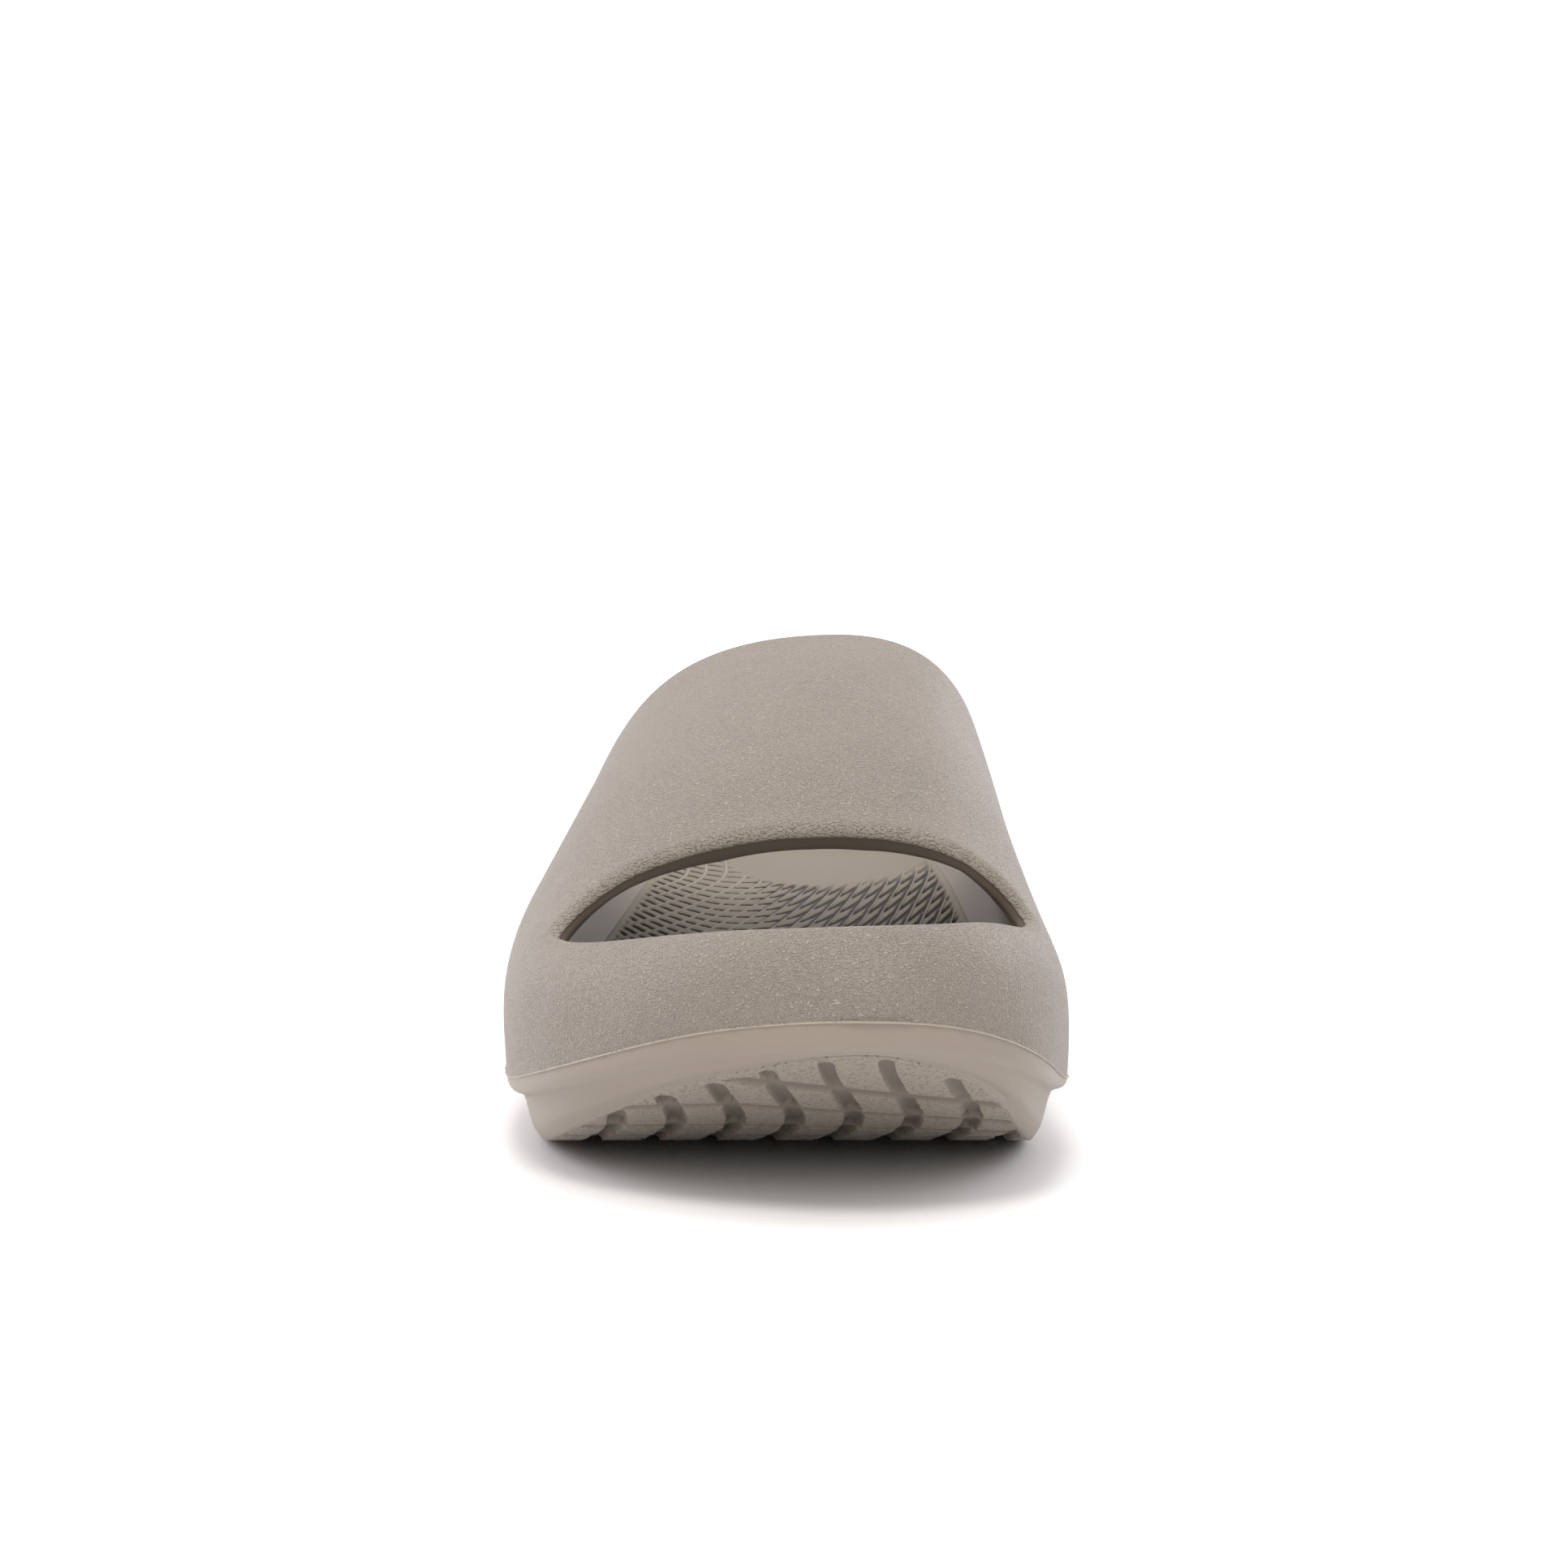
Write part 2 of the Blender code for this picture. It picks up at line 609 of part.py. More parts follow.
def make_groove_cutter():
    """The bars that cut the tread's grooves, as one object that is left out of the model."""
    mesh = bmesh.new()
    margin = TREAD_INSET_AT_TOE + GROOVE_MARGIN
    zones = ((margin, GROOVE_FOREFOOT_END), (GROOVE_HEEL_START, LENGTH - margin))
    lines = round(BALL_WIDTH / 2 / GROOVE_PITCH)
    for start, end in zones:
        for line in range(-lines, lines + 1):
            rows = [groove_section(line, along) for along in groove_reach(line, start, end)]
            if len(rows) < 2:
                continue
            add_strip(mesh, rows)
            for row in (rows[0], rows[-1]):
                mesh.faces.new([mesh.verts.new(point) for point in row])
    bmesh.ops.remove_doubles(mesh, verts=mesh.verts[:], dist=0.00001)
    bmesh.ops.recalc_face_normals(mesh, faces=mesh.faces[:])
    data = bpy.data.meshes.new("groove_cutter")
    mesh.to_mesh(data)
    mesh.free()
    cutter = bpy.data.objects.new("groove_cutter", data)
    cutter.hide_render = True
    cutter.display_type = "WIRE"
    bpy.context.scene.collection.objects.link(cutter)
    return cutter


def cut_grooves(solid, cutter):
    cut = solid.modifiers.new("grooves", "BOOLEAN")
    cut.operation = "DIFFERENCE"
    cut.object = cutter


def make_footbed(material):
    """The footbed panel, let into the upper and lying on the sole's core."""
    top, bottom = [], []
    for turn in ring_turns():
        x, y = outline(turn) - outward(turn) * (panel_inset(turn) + CLEARANCE)
        top.append(Vector((x, y, bed_height(x, y))))
        bottom.append(Vector((x, y, bed_height(x, y) - PANEL_THICKNESS)))
    mesh = bmesh.new()
    add_strip(mesh, [bottom, top])
    add_cross_fill(mesh, top, bed_height, ACROSS_STEPS)
    add_cross_fill(mesh, bottom, lambda x, y: bed_height(x, y) - PANEL_THICKNESS, ACROSS_STEPS)
    return finish_solid("footbed", mesh, material)


def ground_middle(solids):
    """The point on the ground under the middle of the solids' common bounding box."""
    corners = [vertex.co for solid in solids for vertex in solid.data.vertices]
    low = Vector([min(corner[axis] for corner in corners) for axis in range(3)])
    high = Vector([max(corner[axis] for corner in corners) for axis in range(3)])
    middle = (low + high) / 2
    return Vector((middle.x, middle.y, low.z))


def main():
    for old in list(bpy.data.objects):
        bpy.data.objects.remove(old)
    upper = make_upper(foam_material("grained foam", (0.40, 0.34, 0.30), 0.62))
    sole = make_sole(foam_material("smooth foam", (0.38, 0.31, 0.27), 0.5))
    footbed = make_footbed(foam_material("textured foam", (0.36, 0.31, 0.28), 0.65))
    cutter = make_groove_cutter()
    middle = ground_middle([upper, sole, footbed])
    for solid in (upper, sole, footbed, cutter):
        for vertex in solid.data.vertices:
            vertex.co -= middle
    cut_grooves(sole, cutter)


main()
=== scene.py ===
"""The looks of a sport slide sandal for the right foot: its moulded skin, tread and footbed.

Metres, +Z up. The toe points to -Y, the heel to +Y and the big toe's side, called medial, to +X.
"""

import math
from collections import namedtuple
from functools import partial

import bmesh
import bpy
import numpy as np
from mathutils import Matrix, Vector


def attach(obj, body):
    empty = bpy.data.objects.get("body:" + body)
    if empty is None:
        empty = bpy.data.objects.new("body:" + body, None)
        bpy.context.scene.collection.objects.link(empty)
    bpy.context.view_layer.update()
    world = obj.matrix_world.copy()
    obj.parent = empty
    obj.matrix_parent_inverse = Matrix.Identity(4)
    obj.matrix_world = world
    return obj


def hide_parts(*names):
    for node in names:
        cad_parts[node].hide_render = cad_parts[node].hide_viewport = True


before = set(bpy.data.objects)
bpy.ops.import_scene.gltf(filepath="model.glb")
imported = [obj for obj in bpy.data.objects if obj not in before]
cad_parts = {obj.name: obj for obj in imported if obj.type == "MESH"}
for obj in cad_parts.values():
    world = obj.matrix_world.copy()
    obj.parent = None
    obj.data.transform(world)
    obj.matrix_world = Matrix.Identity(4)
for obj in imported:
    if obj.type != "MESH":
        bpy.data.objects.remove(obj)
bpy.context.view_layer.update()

MM = 0.001

# Driving sizes of the whole sandal, as in the solids
LENGTH = 292 * MM
BALL_WIDTH = 117 * MM
STRAP_HEIGHT = 100 * MM
RIM_RISE = 10 * MM
BED_HEIGHT = 40 * MM
SEAM_HEIGHT = 14.5 * MM
# The middle of the solids, which were made off centre and then moved over the origin
MIDDLE = Vector((-0.00069, 0.000054, 0))

# Sole: its lift at toe, arch and heel, the ledge under the upper and the recessed side below it.
# Along the sandal, a place is measured from the toe tip.
TOE_SPRING = 39.5 * MM
TOE_SPRING_START = 0.404 * LENGTH
HEEL_SPRING = 7 * MM
HEEL_SPRING_START = 0.116 * LENGTH
ARCH_RISE = 3 * MM
ARCH_FROM = 0.459 * LENGTH
ARCH_TO = 0.705 * LENGTH
LEDGE_HEIGHT = 3.2 * MM
LEDGE_HEIGHT_AT_TOE = 6 * MM
LEDGE_DEPTH = 3.6 * MM
TREAD_INSET = 7.3 * MM
TREAD_INSET_AT_TOE = 10 * MM
TREAD_EDGE_ROUND = 1 * MM
# Rows that round the tread's edge: shares of its round inwards and up
TREAD_EDGE_ROWS = ((-0.5, 1.0), (0.0, 0.3), (0.5, 0.0))
# How much thinner the ledge is on the medial side, and how wide the change is across the sandal
MEDIAL_LEDGE_THINNER = 0.42
LEDGE_BLEND = 60 * MM

# Tread grooves: wavy lines side by side, in a forefoot zone and a heel zone
GROOVE_PITCH = 11.8 * MM
GROOVE_DEPTH = 2.2 * MM
GROOVE_WAVE = 3 * MM
GROOVE_WAVE_LENGTH = 76 * MM
GROOVE_WAVE_PEAK = 48 * MM
GROOVE_FOREFOOT_END = 0.438 * LENGTH
GROOVE_HEEL_START = 0.726 * LENGTH
GROOVE_MIDDLE_ACROSS = -1.5 * MM

# Upper: its walls from the seam to the rim, and their thickness
SEAM_TUCK = 0.3 * MM
RIM_TUCK = 8 * MM
WALL_FULLNESS_LOW = 0.36
WALL_FULLNESS_HIGH = 0.42
STRAP_WALL = 5 * MM

# Strap: its front and back edges, their slopes in degrees, and the rounded corners at its foot
FRONT_EDGE_ALONG = 0.223 * LENGTH
FRONT_EDGE_HEIGHT = 73 * MM
FRONT_EDGE_ACROSS = 6 * MM
FRONT_SLOPE = 26
FRONT_EDGE_SWEEP = 2
TOE_CORNER_ALONG = 0.250 * LENGTH
TOE_CORNER_ROUND = 8 * MM
TOE_CORNER_SHARE = 0.24
BACK_EDGE_ALONG = 0.514 * LENGTH
BACK_EDGE_ACROSS = 11 * MM
BACK_SLOPE = 9
BACK_EDGE_SWEEP = 2.5
COLLAR_CORNER_ALONG = 0.781 * LENGTH
COLLAR_CORNER_ROUND = 28 * MM
COLLAR_CORNER_SHARE = 0.15

Fullness = namedtuple("Fullness", "foot_lateral foot_medial ridge_lateral ridge_medial")
FRONT_FULLNESS = Fullness(0.60, 0.50, 0.50, 0.56)
BACK_FULLNESS = Fullness(0.66, 0.60, 0.65, 0.70)

# Footbed panel, the sole's core under it, and the inside of the upper's walls, leans in degrees
PANEL_INSET = 15 * MM
PANEL_THICKNESS = 4 * MM
CORE_SHARE = 0.68
HEEL_CUP = 2.5 * MM
ARCH_SUPPORT = 3.5 * MM
ARCH_SUPPORT_AT = 0.55
ARCH_SUPPORT_REACH = 0.16
BED_FOLLOWS_SEAM = 0.6
INNER_WALL_LEAN = 28
INNER_WALL_FULLNESS = 0.6
BAND_SLOPE = 20
CLEARANCE = 0.3 * MM

# Sections from toe to heel: the place as a share of LENGTH, both sides as shares of half
# BALL_WIDTH, and the seam's lift as a share of TOE_SPRING. On the lateral and the medial side
# follow the rim's height over the footbed as a share of RIM_RISE, its share of RIM_TUCK, its lean
# in degrees and the share of PANEL_INSET, and last the footbed's height as a share of BED_HEIGHT.
Station = namedtuple(
    "Station",
    "along lateral medial seam rim_l rim_m tuck_l tuck_m lean_l lean_m panel_l panel_m bed",
)
STATIONS = [Station(*row) for row in (
    (0.000, 0.24, 0.24, 0.684, 1.01, 1.01, 1.06, 1.06, 58, 58, 1.05, 1.05, 0.795),
    (0.031, -0.24, 0.62, 0.602, 0.94, 1.08, 1.06, 1.06, 58, 58, 1.05, 1.05, 0.813),
    (0.099, -0.63, 0.85, 0.397, 0.87, 1.20, 1.00, 0.94, 54, 50, 1.05, 1.00, 0.845),
    (0.195, -0.885, 0.94, 0.185, 0.95, 1.24, 0.66, 0.60, 46, 40, 1.10, 0.95, 0.840),
    (0.308, -0.985, 0.985, 0.041, 1.26, 1.46, 0.62, 0.74, 33, 24, 1.12, 0.92, 0.836),
    (0.428, -0.995, 0.945, 0.000, 1.44, 1.54, 0.64, 0.64, 29, 18, 1.15, 0.90, 0.840),
    (0.548, -0.94, 0.89, 0.000, 1.42, 1.52, 0.60, 0.45, 28, 16, 1.18, 0.90, 0.880),
    (0.668, -0.88, 0.84, 0.000, 1.28, 1.33, 0.55, 0.44, 24, 14, 1.25, 0.88, 0.940),
    (0.781, -0.83, 0.80, 0.014, 0.83, 0.83, 0.52, 0.50, 18, 16, 1.30, 0.92, 0.972),
    (0.877, -0.72, 0.73, 0.034, 0.70, 0.70, 0.52, 0.52, 16, 16, 1.20, 1.00, 0.980),
    (0.962, -0.41, 0.48, 0.062, 0.72, 0.72, 0.54, 0.54, 15, 15, 1.10, 1.05, 0.983),
    (1.000, 0.04, 0.04, 0.075, 0.74, 0.74, 0.56, 0.56, 14, 14, 1.10, 1.10, 0.995),
)]
LAST = len(STATIONS) - 1

# The sole's side from the seam down, in two parts: shares of each part's inset and height
LEDGE_ROWS = ((0.00, 0.00), (0.02, 0.25), (0.06, 0.50), (0.15, 0.70), (0.30, 0.86), (0.48, 0.95),
              (0.68, 1.00))
RECESS_ROWS = ((0.00, 0.06), (0.05, 0.12), (0.16, 0.22), (0.29, 0.40), (0.42, 0.58), (0.56, 0.74))

# Rolled rim, from the outer skin round to the inner one: shares of the wall's thickness below the
# skin and into the opening. The grained roll ends at a parting line, and a smooth face turns under.
# Last come the share of the paler colour, the mould's flash at the parting line and painted light
# up the roll's underside, and the share of painted shade on the smooth face.
RimRow = namedtuple("RimRow", "depth into grain parting face")
RIM_ROWS = [RimRow(*row) for row in (
    (0.000, 0.000, 0.95, 0.0, 0.0),
    (0.012, 0.080, 1.10, 0.0, 0.0),
    (0.038, 0.165, 1.15, 0.15, 0.0),
    (0.080, 0.245, 1.25, 0.3, 0.0),
    (0.135, 0.320, 1.25, 0.4, 0.0),
    (0.200, 0.388, 1.25, 0.45, 0.0),
    (0.275, 0.445, 1.20, 0.5, 0.0),
    (0.350, 0.488, 1.00, 0.5, 0.0),
    (0.425, 0.517, 0.50, 0.6, 0.0),
    (0.460, 0.512, 0.00, 0.3, 0.5),
    (0.470, 0.470, 0.00, 0.0, 1.0),
    (0.600, 0.468, 0.00, 0.0, 1.0),
    (0.740, 0.464, 0.00, 0.0, 1.0),
    (0.880, 0.456, 0.00, 0.0, 1.0),
    (1.020, 0.440, 0.00, 0.0, 1.0),
    (1.130, 0.405, 0.00, 0.0, 0.9),
    (1.200, 0.330, 0.00, 0.0, 0.7),
    (1.200, 0.220, 0.00, 0.0, 0.5),
    (1.120, 0.100, 0.00, 0.0, 0.4),
    (1.000, 0.000, 0.00, 0.0, 0.35),
)]
# How much the strap's front edge is lowered or raised by its own moulding, in millimetres, at
# places across the sandal, and over what share of the strap that fades out towards the back
EDGE_TRIM = ((-50, 0), (-34, 0), (-24, -0.8), (-14, -1.35), (5, -1.35), (14, -1.0), (23, -0.3),
             (30, 0.3), (37, 0.8), (43, 0.5), (49, 0))
EDGE_TRIM_FADE = 0.3
# How tall the smooth face under a rim's roll is, as a share, at places across the sandal; it
# starts at the parting line, a share of the wall's thickness below the skin
FACE_TALL = ((-50, 0.5), (-38, 0.55), (-28, 0.72), (-16, 1.0), (16, 1.0), (28, 0.8), (38, 0.58),
             (50, 0.5))
PARTING_DEPTH = 0.47
# Painted shade on the smooth skin, from 0 to 1: on the face at rims other than the strap's front
# edge, inside the upper, and how much more inside its medial wall
FACE_SHADE_ELSEWHERE = 0.35
INNER_SHADE = 0.5
MEDIAL_SHADE = 0.45
MEDIAL_SHADE_FROM = 30 * MM
MEDIAL_SHADE_FADE = 14 * MM

# The thin flash that the mould leaves along the seam, wider at one place beside the toe
FLASH_OUT = 0.30 * MM
FLASH_HEIGHT = 0.45 * MM
# Its rows from inside out: tucks in from the outline, and shares of its reach and of its height
FLASH_ROWS = ((3, 0.0, 0.2), (1, 0.9, 1.0), (1, 1.0, 0.7), (1, 0.0, 0.0))
# Its unevenness: waves as shares of its reach, with their turns in radians for each station
FLASH_WAVES = ((0.25, 23.0), (0.2, 61.0))
FLAP_ACROSS = 17 * MM
FLAP_REACH = 7 * MM
FLAP_OUT = 0.55 * MM
FLAP_TOE_SHARE = 0.5

# How strong the grain is: on the toe bumper, and on the strap and flanks
TOE_GRAIN = 1.0
STRAP_GRAIN = 0.65
TOE_GRAIN_END = 130 * MM
TOE_GRAIN_FADE = 60 * MM

# Tread: how far behind the toe tip each groove starts, in millimetres
GROOVE_LINES = range(-5, 6)
GROOVE_STARTS = {-5: 56, -4: 56, -3: 40, -2: 31, -1: 24, 0: 17, 1: 13, 2: 12, 3: 21, 4: 51, 5: 56}
# The shallow channels that cross the grooves, in millimetres: their place where they pass the
# middle, their slope, their width and the side place where they begin
Sipe = namedtuple("Sipe", "along slope width left")
SIPES = (
    Sipe(24.9, 0.298, 4.4, -13),
    Sipe(39.8, 0.250, 3.4, -36),
    Sipe(55.5, 0.150, 3.0, -45),
    Sipe(68.5, 0.080, 2.2, -60),
    Sipe(81.5, 0.030, 2.2, -60),
    *(Sipe(along, 0, 2.2, -60) for along in (94.5, 107.5, 120.5, 216, 229, 242, 255, 268)),
)
# How many cross the forefoot, and how long the steps are past the last channel of each zone and
# before the first one
FOREFOOT_SIPES = 8
SIPE_PITCH = 13 * MM
TOE_SIPE_PITCH = 16 * MM
SIPE_TAPER = 6 * MM
SIPE_THINNEST = 0.02 * MM
SIPE_SQUARENESS = 3
# Left of the bend a channel turns back by a share of its slope
SIPE_BEND = -10 * MM
SIPE_TURN_BACK = 0.3
SIPE_DEPTH = 1.2 * MM
# Half a groove's width before and behind the first channel
FIRST_HALF = 1.55 * MM
LATER_HALF = 1.95 * MM
GROOVE_SQUARENESS = 5
# Between two channels a groove deepens in a bowed step: before the first channel from one share
# of its depth by another, and behind it from STEP_DEPTH to all of it
FIRST_STEP = (0.65, 0.2)
STEP_DEPTH = 0.32
STEP_EASE = 0.7
STEP_BOW = 0.3
# The cuts run out before the tread's edge
EDGE_MARGIN = 2.0 * MM
EDGE_UNCUT = 0.3
GROOVE_ZONE_SPLIT = 0.58 * LENGTH

# Footbed pattern, in millimetres. Ridges run lengthwise and lean, and rungs cross the rows between
# them. At places across the footbed: how far a ridge runs along for each step across.
RIDGE_LEAN = ((-40, 0.9), (-34, 1.0), (-30, 1.2), (-24, 1.6), (-20, 1.95), (-15, 2.3), (-10, 2.6),
              (-5, 2.9), (0, 3.4), (5, 4.0), (15, 5.5), (25, 7.0), (35, 9.0), (45, 11.0))
# At places along it: the share of that lean, and the ridges' own places across where it is full
RIDGE_TURN = ((100, 1.0), (196, 1.0), (206, 0.82), (214, 0.45), (222, 0.08), (232, -0.1),
              (300, -0.1))
RIDGES_AT = 190
RIDGES = (-47.0, -39.0, -31.2, -23.7, -17.5, -12.3, -8.7, -5.0, -1.7, 1.5, 4.7, 7.9, 11.0, 14.0,
          17.1, 20.2, 23.3, 26.4, 29.5, 32.6, 35.7, 38.8, 41.9, 45.0, 48.1, 51.2)
# At places across: the rungs' slope, and the distance between two of them
RUNG_SLOPE = ((-45, -2.6), (-32, -2.1), (-22.5, -1.3), (-17, -0.86), (-13, -0.3), (-9, 0.0),
              (-4, 0.55), (0.5, 1.0), (4, 2.0), (14, 2.5), (25, 2.8), (34, 3.0), (45, 3.2))
RUNG_PITCH = ((-45, 6.0), (-2, 6.0), (15, 8.4), (45, 8.4))
RUNG_FROM = -9
RUNG_AT = 174.6
RUNGS_BEFORE = 40
PATTERN_ACROSS = (-60, 60)
PATTERN_ALONG = (100, 320)
# Towards the toe the pattern is mirrored at a place, over a soft fold
FOLD_AT = 118
FOLD_ROUND = 12
# The plain oval: its middle, its reach to the lateral side, to the medial side and lengthwise,
# and how far the pattern takes to fade at its lateral and at its medial side
BARE_PLACE = (7, 237)
BARE_REACH = (19, 24, 29)
BARE_FADE = (0.06, 0.26)
# The medial part, where the slots widen and a gutter runs beside each ridge, sets in between this
# place across and the middle
MEDIAL_FROM = -8
# The plain border, and the relief of ridges, rows and slots
BED_RIM_WIDTH = 1.1 * MM
BED_RIM_HEIGHT = 0.12 * MM
BED_RIM_PLAIN = 2.2
RIDGE_HEIGHT = 0.30 * MM
RIDGE_HALF = 0.38 * MM
ROW_CROWN = 0.22 * MM
RUNG_DEPTH = 0.6 * MM
# Half a slot's width: on the lateral side, and on the medial one where it starts and how it grows
SLOT_HALF = 0.45 * MM
MEDIAL_SLOT_HALF = (0.32, 0.48)
# Where a slot starts and ends between two ridges, and over what share it does so
SLOT_FROM, SLOT_FROM_FADE = 0.1, 0.08
SLOT_TO, SLOT_TO_FADE = 0.9, 0.06
GUTTER_PLACE = 0.87
GUTTER_HALF = 0.3 * MM
GUTTER_DEPTH = 0.8

# How finely the pieces are divided: spans of stations with their numbers of steps
UPPER_SPANS = (56, 72, 52)
WALL_STEPS = 26
ARCH_STEPS = 144
INNER_STEPS = 14
FOOT_CROWDING = 1.25
SOLE_SPANS = ((0, 3.2, 170), (3.2, 8, 90), (8, 11, 60))
BED_SPANS = ((0, 5.2, 160), (5.2, 8.8, 220), (8.8, 11, 50))
TREAD_ACROSS = 200
BED_ACROSS = 190
HIDDEN_ACROSS = 8
STATION_STEPS = 400
TABLE_STEPS = 900
# How near two points are to be welded, and the angle in degrees from which an edge stays sharp
WELD_REACH = 0.003 * MM
SHARP_ANGLE = 42


def closed_spline(values):
    """A smooth curve through the values, one at each whole number, that repeats after the last."""
    values = np.asarray(values, float)
    count = len(values)
    place = np.arange(count)
    matrix = np.zeros((count, count))
    matrix[place, place] = 4
    matrix[place, place - 1] = 1
    matrix[place, (place + 1) % count] = 1
    bends = np.linalg.solve(matrix, 6 * (np.roll(values, 1) - 2 * values + np.roll(values, -1)))

    def at(turn):
        low = np.floor(turn).astype(int) % count
        high = (low + 1) % count
        after = turn - np.floor(turn)
        before = 1 - after
        return (
            before * values[low]
            + after * values[high]
            + ((before**3 - before) * bends[low] + (after**3 - after) * bends[high]) / 6
        )

    return at


def around(lateral, medial):
    """A column's values all round: toe to heel on the lateral side, and back on the medial."""
    down = [getattr(row, lateral) for row in STATIONS]
    back = [getattr(row, medial) for row in STATIONS]
    return closed_spline(down + back[-2:0:-1])


ALONG = around("along", "along")
ACROSS = around("lateral", "medial")
SEAM = around("seam", "seam")
RIM = around("rim_l", "rim_m")
TUCK = around("tuck_l", "tuck_m")
LEAN = around("lean_l", "lean_m")
PANEL = around("panel_l", "panel_m")
BED = around("bed", "bed")

STATION_SAMPLES = np.linspace(0, LAST, STATION_STEPS)
ALONG_SAMPLES = ALONG(STATION_SAMPLES) * LENGTH


def station_at(along):
    """The station at a distance behind the toe tip."""
    return np.interp(along, ALONG_SAMPLES, STATION_SAMPLES)


def outline(turn):
    """The point of the widest outline at a turn, seen from above."""
    return np.array([ACROSS(turn) * BALL_WIDTH / 2, (ALONG(turn) - 0.5) * LENGTH])


def outward(turn):
    """The outline's unit normal, away from the sandal."""
    step = 0.01
    run = outline(turn + step) - outline(turn - step)
    run /= np.hypot(*run)
    return np.array([-run[1], run[0]])


def inset_point(turn, inset, height):
    """A point at a height, set in from the widest outline."""
    x, y = outline(turn) - outward(turn) * inset
    return Vector((x, y, height))


def bezier(points, steps):
    """The points of a cubic curve with four control points."""
    a, b, c, d = points
    curve = []
    for step in range(steps + 1):
        t = step / steps
        s = 1 - t
        curve.append(a * s**3 + b * (3 * s * s * t) + c * (3 * s * t * t) + d * t**3)
    return curve


def toe_share(turn):
    """1 at the toe tip, falling to 0 at the ball of the foot."""
    reach = TOE_SPRING_START / LENGTH
    return max(0.0, 1 - float(ALONG(turn)) / reach) ** 2


def tread_height(y):
    """How far the tread is off the ground at a place along the sandal."""
    along = y + LENGTH / 2
    toe = np.maximum(0.0, 1 - along / TOE_SPRING_START)
    heel = np.maximum(0.0, 1 - (LENGTH - along) / HEEL_SPRING_START)
    arch = np.clip((along - ARCH_FROM) / (ARCH_TO - ARCH_FROM), 0, 1)
    return TOE_SPRING * toe**2 + HEEL_SPRING * heel**2 + ARCH_RISE * np.sin(np.pi * arch) ** 2


def panel_inset(turn):
    return float(PANEL(turn)) * PANEL_INSET


def bed_at(turn):
    """The height of the footbed along its middle, which follows the seam's lift at toe and heel."""
    return BED(turn) * BED_HEIGHT + SEAM(turn) * TOE_SPRING * BED_FOLLOWS_SEAM


def bed_height(x, y):
    """The footbed's surface: sprung at the toe, cupped at the heel, and raised under the arch."""
    station = station_at(y + LENGTH / 2)
    lateral = ACROSS(station) * BALL_WIDTH / 2
    medial = ACROSS(2 * LAST - station) * BALL_WIDTH / 2
    side = (2 * x - lateral - medial) / np.maximum(medial - lateral, PANEL_INSET)
    share = station / LAST
    cup = HEEL_CUP * side * side * share
    reach = (share - ARCH_SUPPORT_AT) / ARCH_SUPPORT_REACH
    arch = ARCH_SUPPORT * np.maximum(0.0, side) ** 2 * np.exp(-(reach**2))
    return bed_at(station) + cup + arch


def seam_height(turn):
    return SEAM_HEIGHT + float(SEAM(turn)) * TOE_SPRING


def seam_point(turn):
    return inset_point(turn, SEAM_TUCK, seam_height(turn))


def rim_point(turn):
    height = bed_at(turn) + float(RIM(turn)) * RIM_RISE
    return inset_point(turn, float(TUCK(turn)) * RIM_TUCK, height)


def rim_direction(turn, most_lean=90):
    """The way the wall runs up and inwards where it reaches the rim line."""
    lean = math.radians(min(float(LEAN(turn)), most_lean))
    x, y = -outward(turn) * math.sin(lean)
    return Vector((x, y, math.cos(lean)))


def outer_wall(turn, steps):
    """The outside of the wall, from the seam up to the rim line."""
    seam = seam_point(turn)
    rim = rim_point(turn)
    rise = rim.z - seam.z
    x, y = outward(turn) * SEAM_TUCK * 2
    low = seam + Vector((x, y, rise * WALL_FULLNESS_LOW))
    high = rim - rim_direction(turn) * rise * WALL_FULLNESS_HIGH
    return bezier((seam, low, high, rim), steps)


def ridge_point(station):
    """The top of the strap's section at a station, which goes on straight behind the back edge."""
    along = float(ALONG(station)) * LENGTH
    span = BACK_EDGE_ALONG - FRONT_EDGE_ALONG
    share = (along - FRONT_EDGE_ALONG) / span
    t = min(1.0, max(0.0, share))
    start = math.tan(math.radians(FRONT_SLOPE)) * span
    end = math.tan(math.radians(BACK_SLOPE)) * span
    rise = STRAP_HEIGHT - FRONT_EDGE_HEIGHT
    height = rise * (3 - 2 * t) * t * t + start * t * (1 - t) ** 2 - end * t * t * (1 - t)
    beyond = end * max(0.0, share - 1) + start * min(0.0, share)
    across = FRONT_EDGE_ACROSS + (BACK_EDGE_ACROSS - FRONT_EDGE_ACROSS) * t
    return Vector((across, along - LENGTH / 2, FRONT_EDGE_HEIGHT + height + beyond))


def strap_point(turn, v):
    """A point of the strap's section: v is 0 at the rim line of its side and 1 at the ridge."""
    lateral = turn <= LAST
    station = turn if lateral else 2 * LAST - turn
    foot = rim_point(turn)
    ridge = ridge_point(station)
    along = float(ALONG(station)) * LENGTH
    share = min(1.0, max(0.0, (along - FRONT_EDGE_ALONG) / (BACK_EDGE_ALONG - FRONT_EDGE_ALONG)))
    full = [a + (b - a) * share for a, b in zip(FRONT_FULLNESS, BACK_FULLNESS)]
    by_foot, by_ridge = (full[0], full[2]) if lateral else (full[1], full[3])
    low = foot + rim_direction(turn) * (ridge.z - foot.z) * by_foot
    high = ridge + Vector(((foot.x - ridge.x) * by_ridge, 0, 0))
    u = 1 - v
    return foot * u**3 + low * (3 * u * u * v) + high * (3 * u * v * v) + ridge * v**3


def corner_round(v, share):
    """How much of a corner's rounding is taken at v: all of it at the rim, none above its share."""
    left = max(0.0, 1 - v / share)
    return 1 - math.sqrt(1 - left * left)


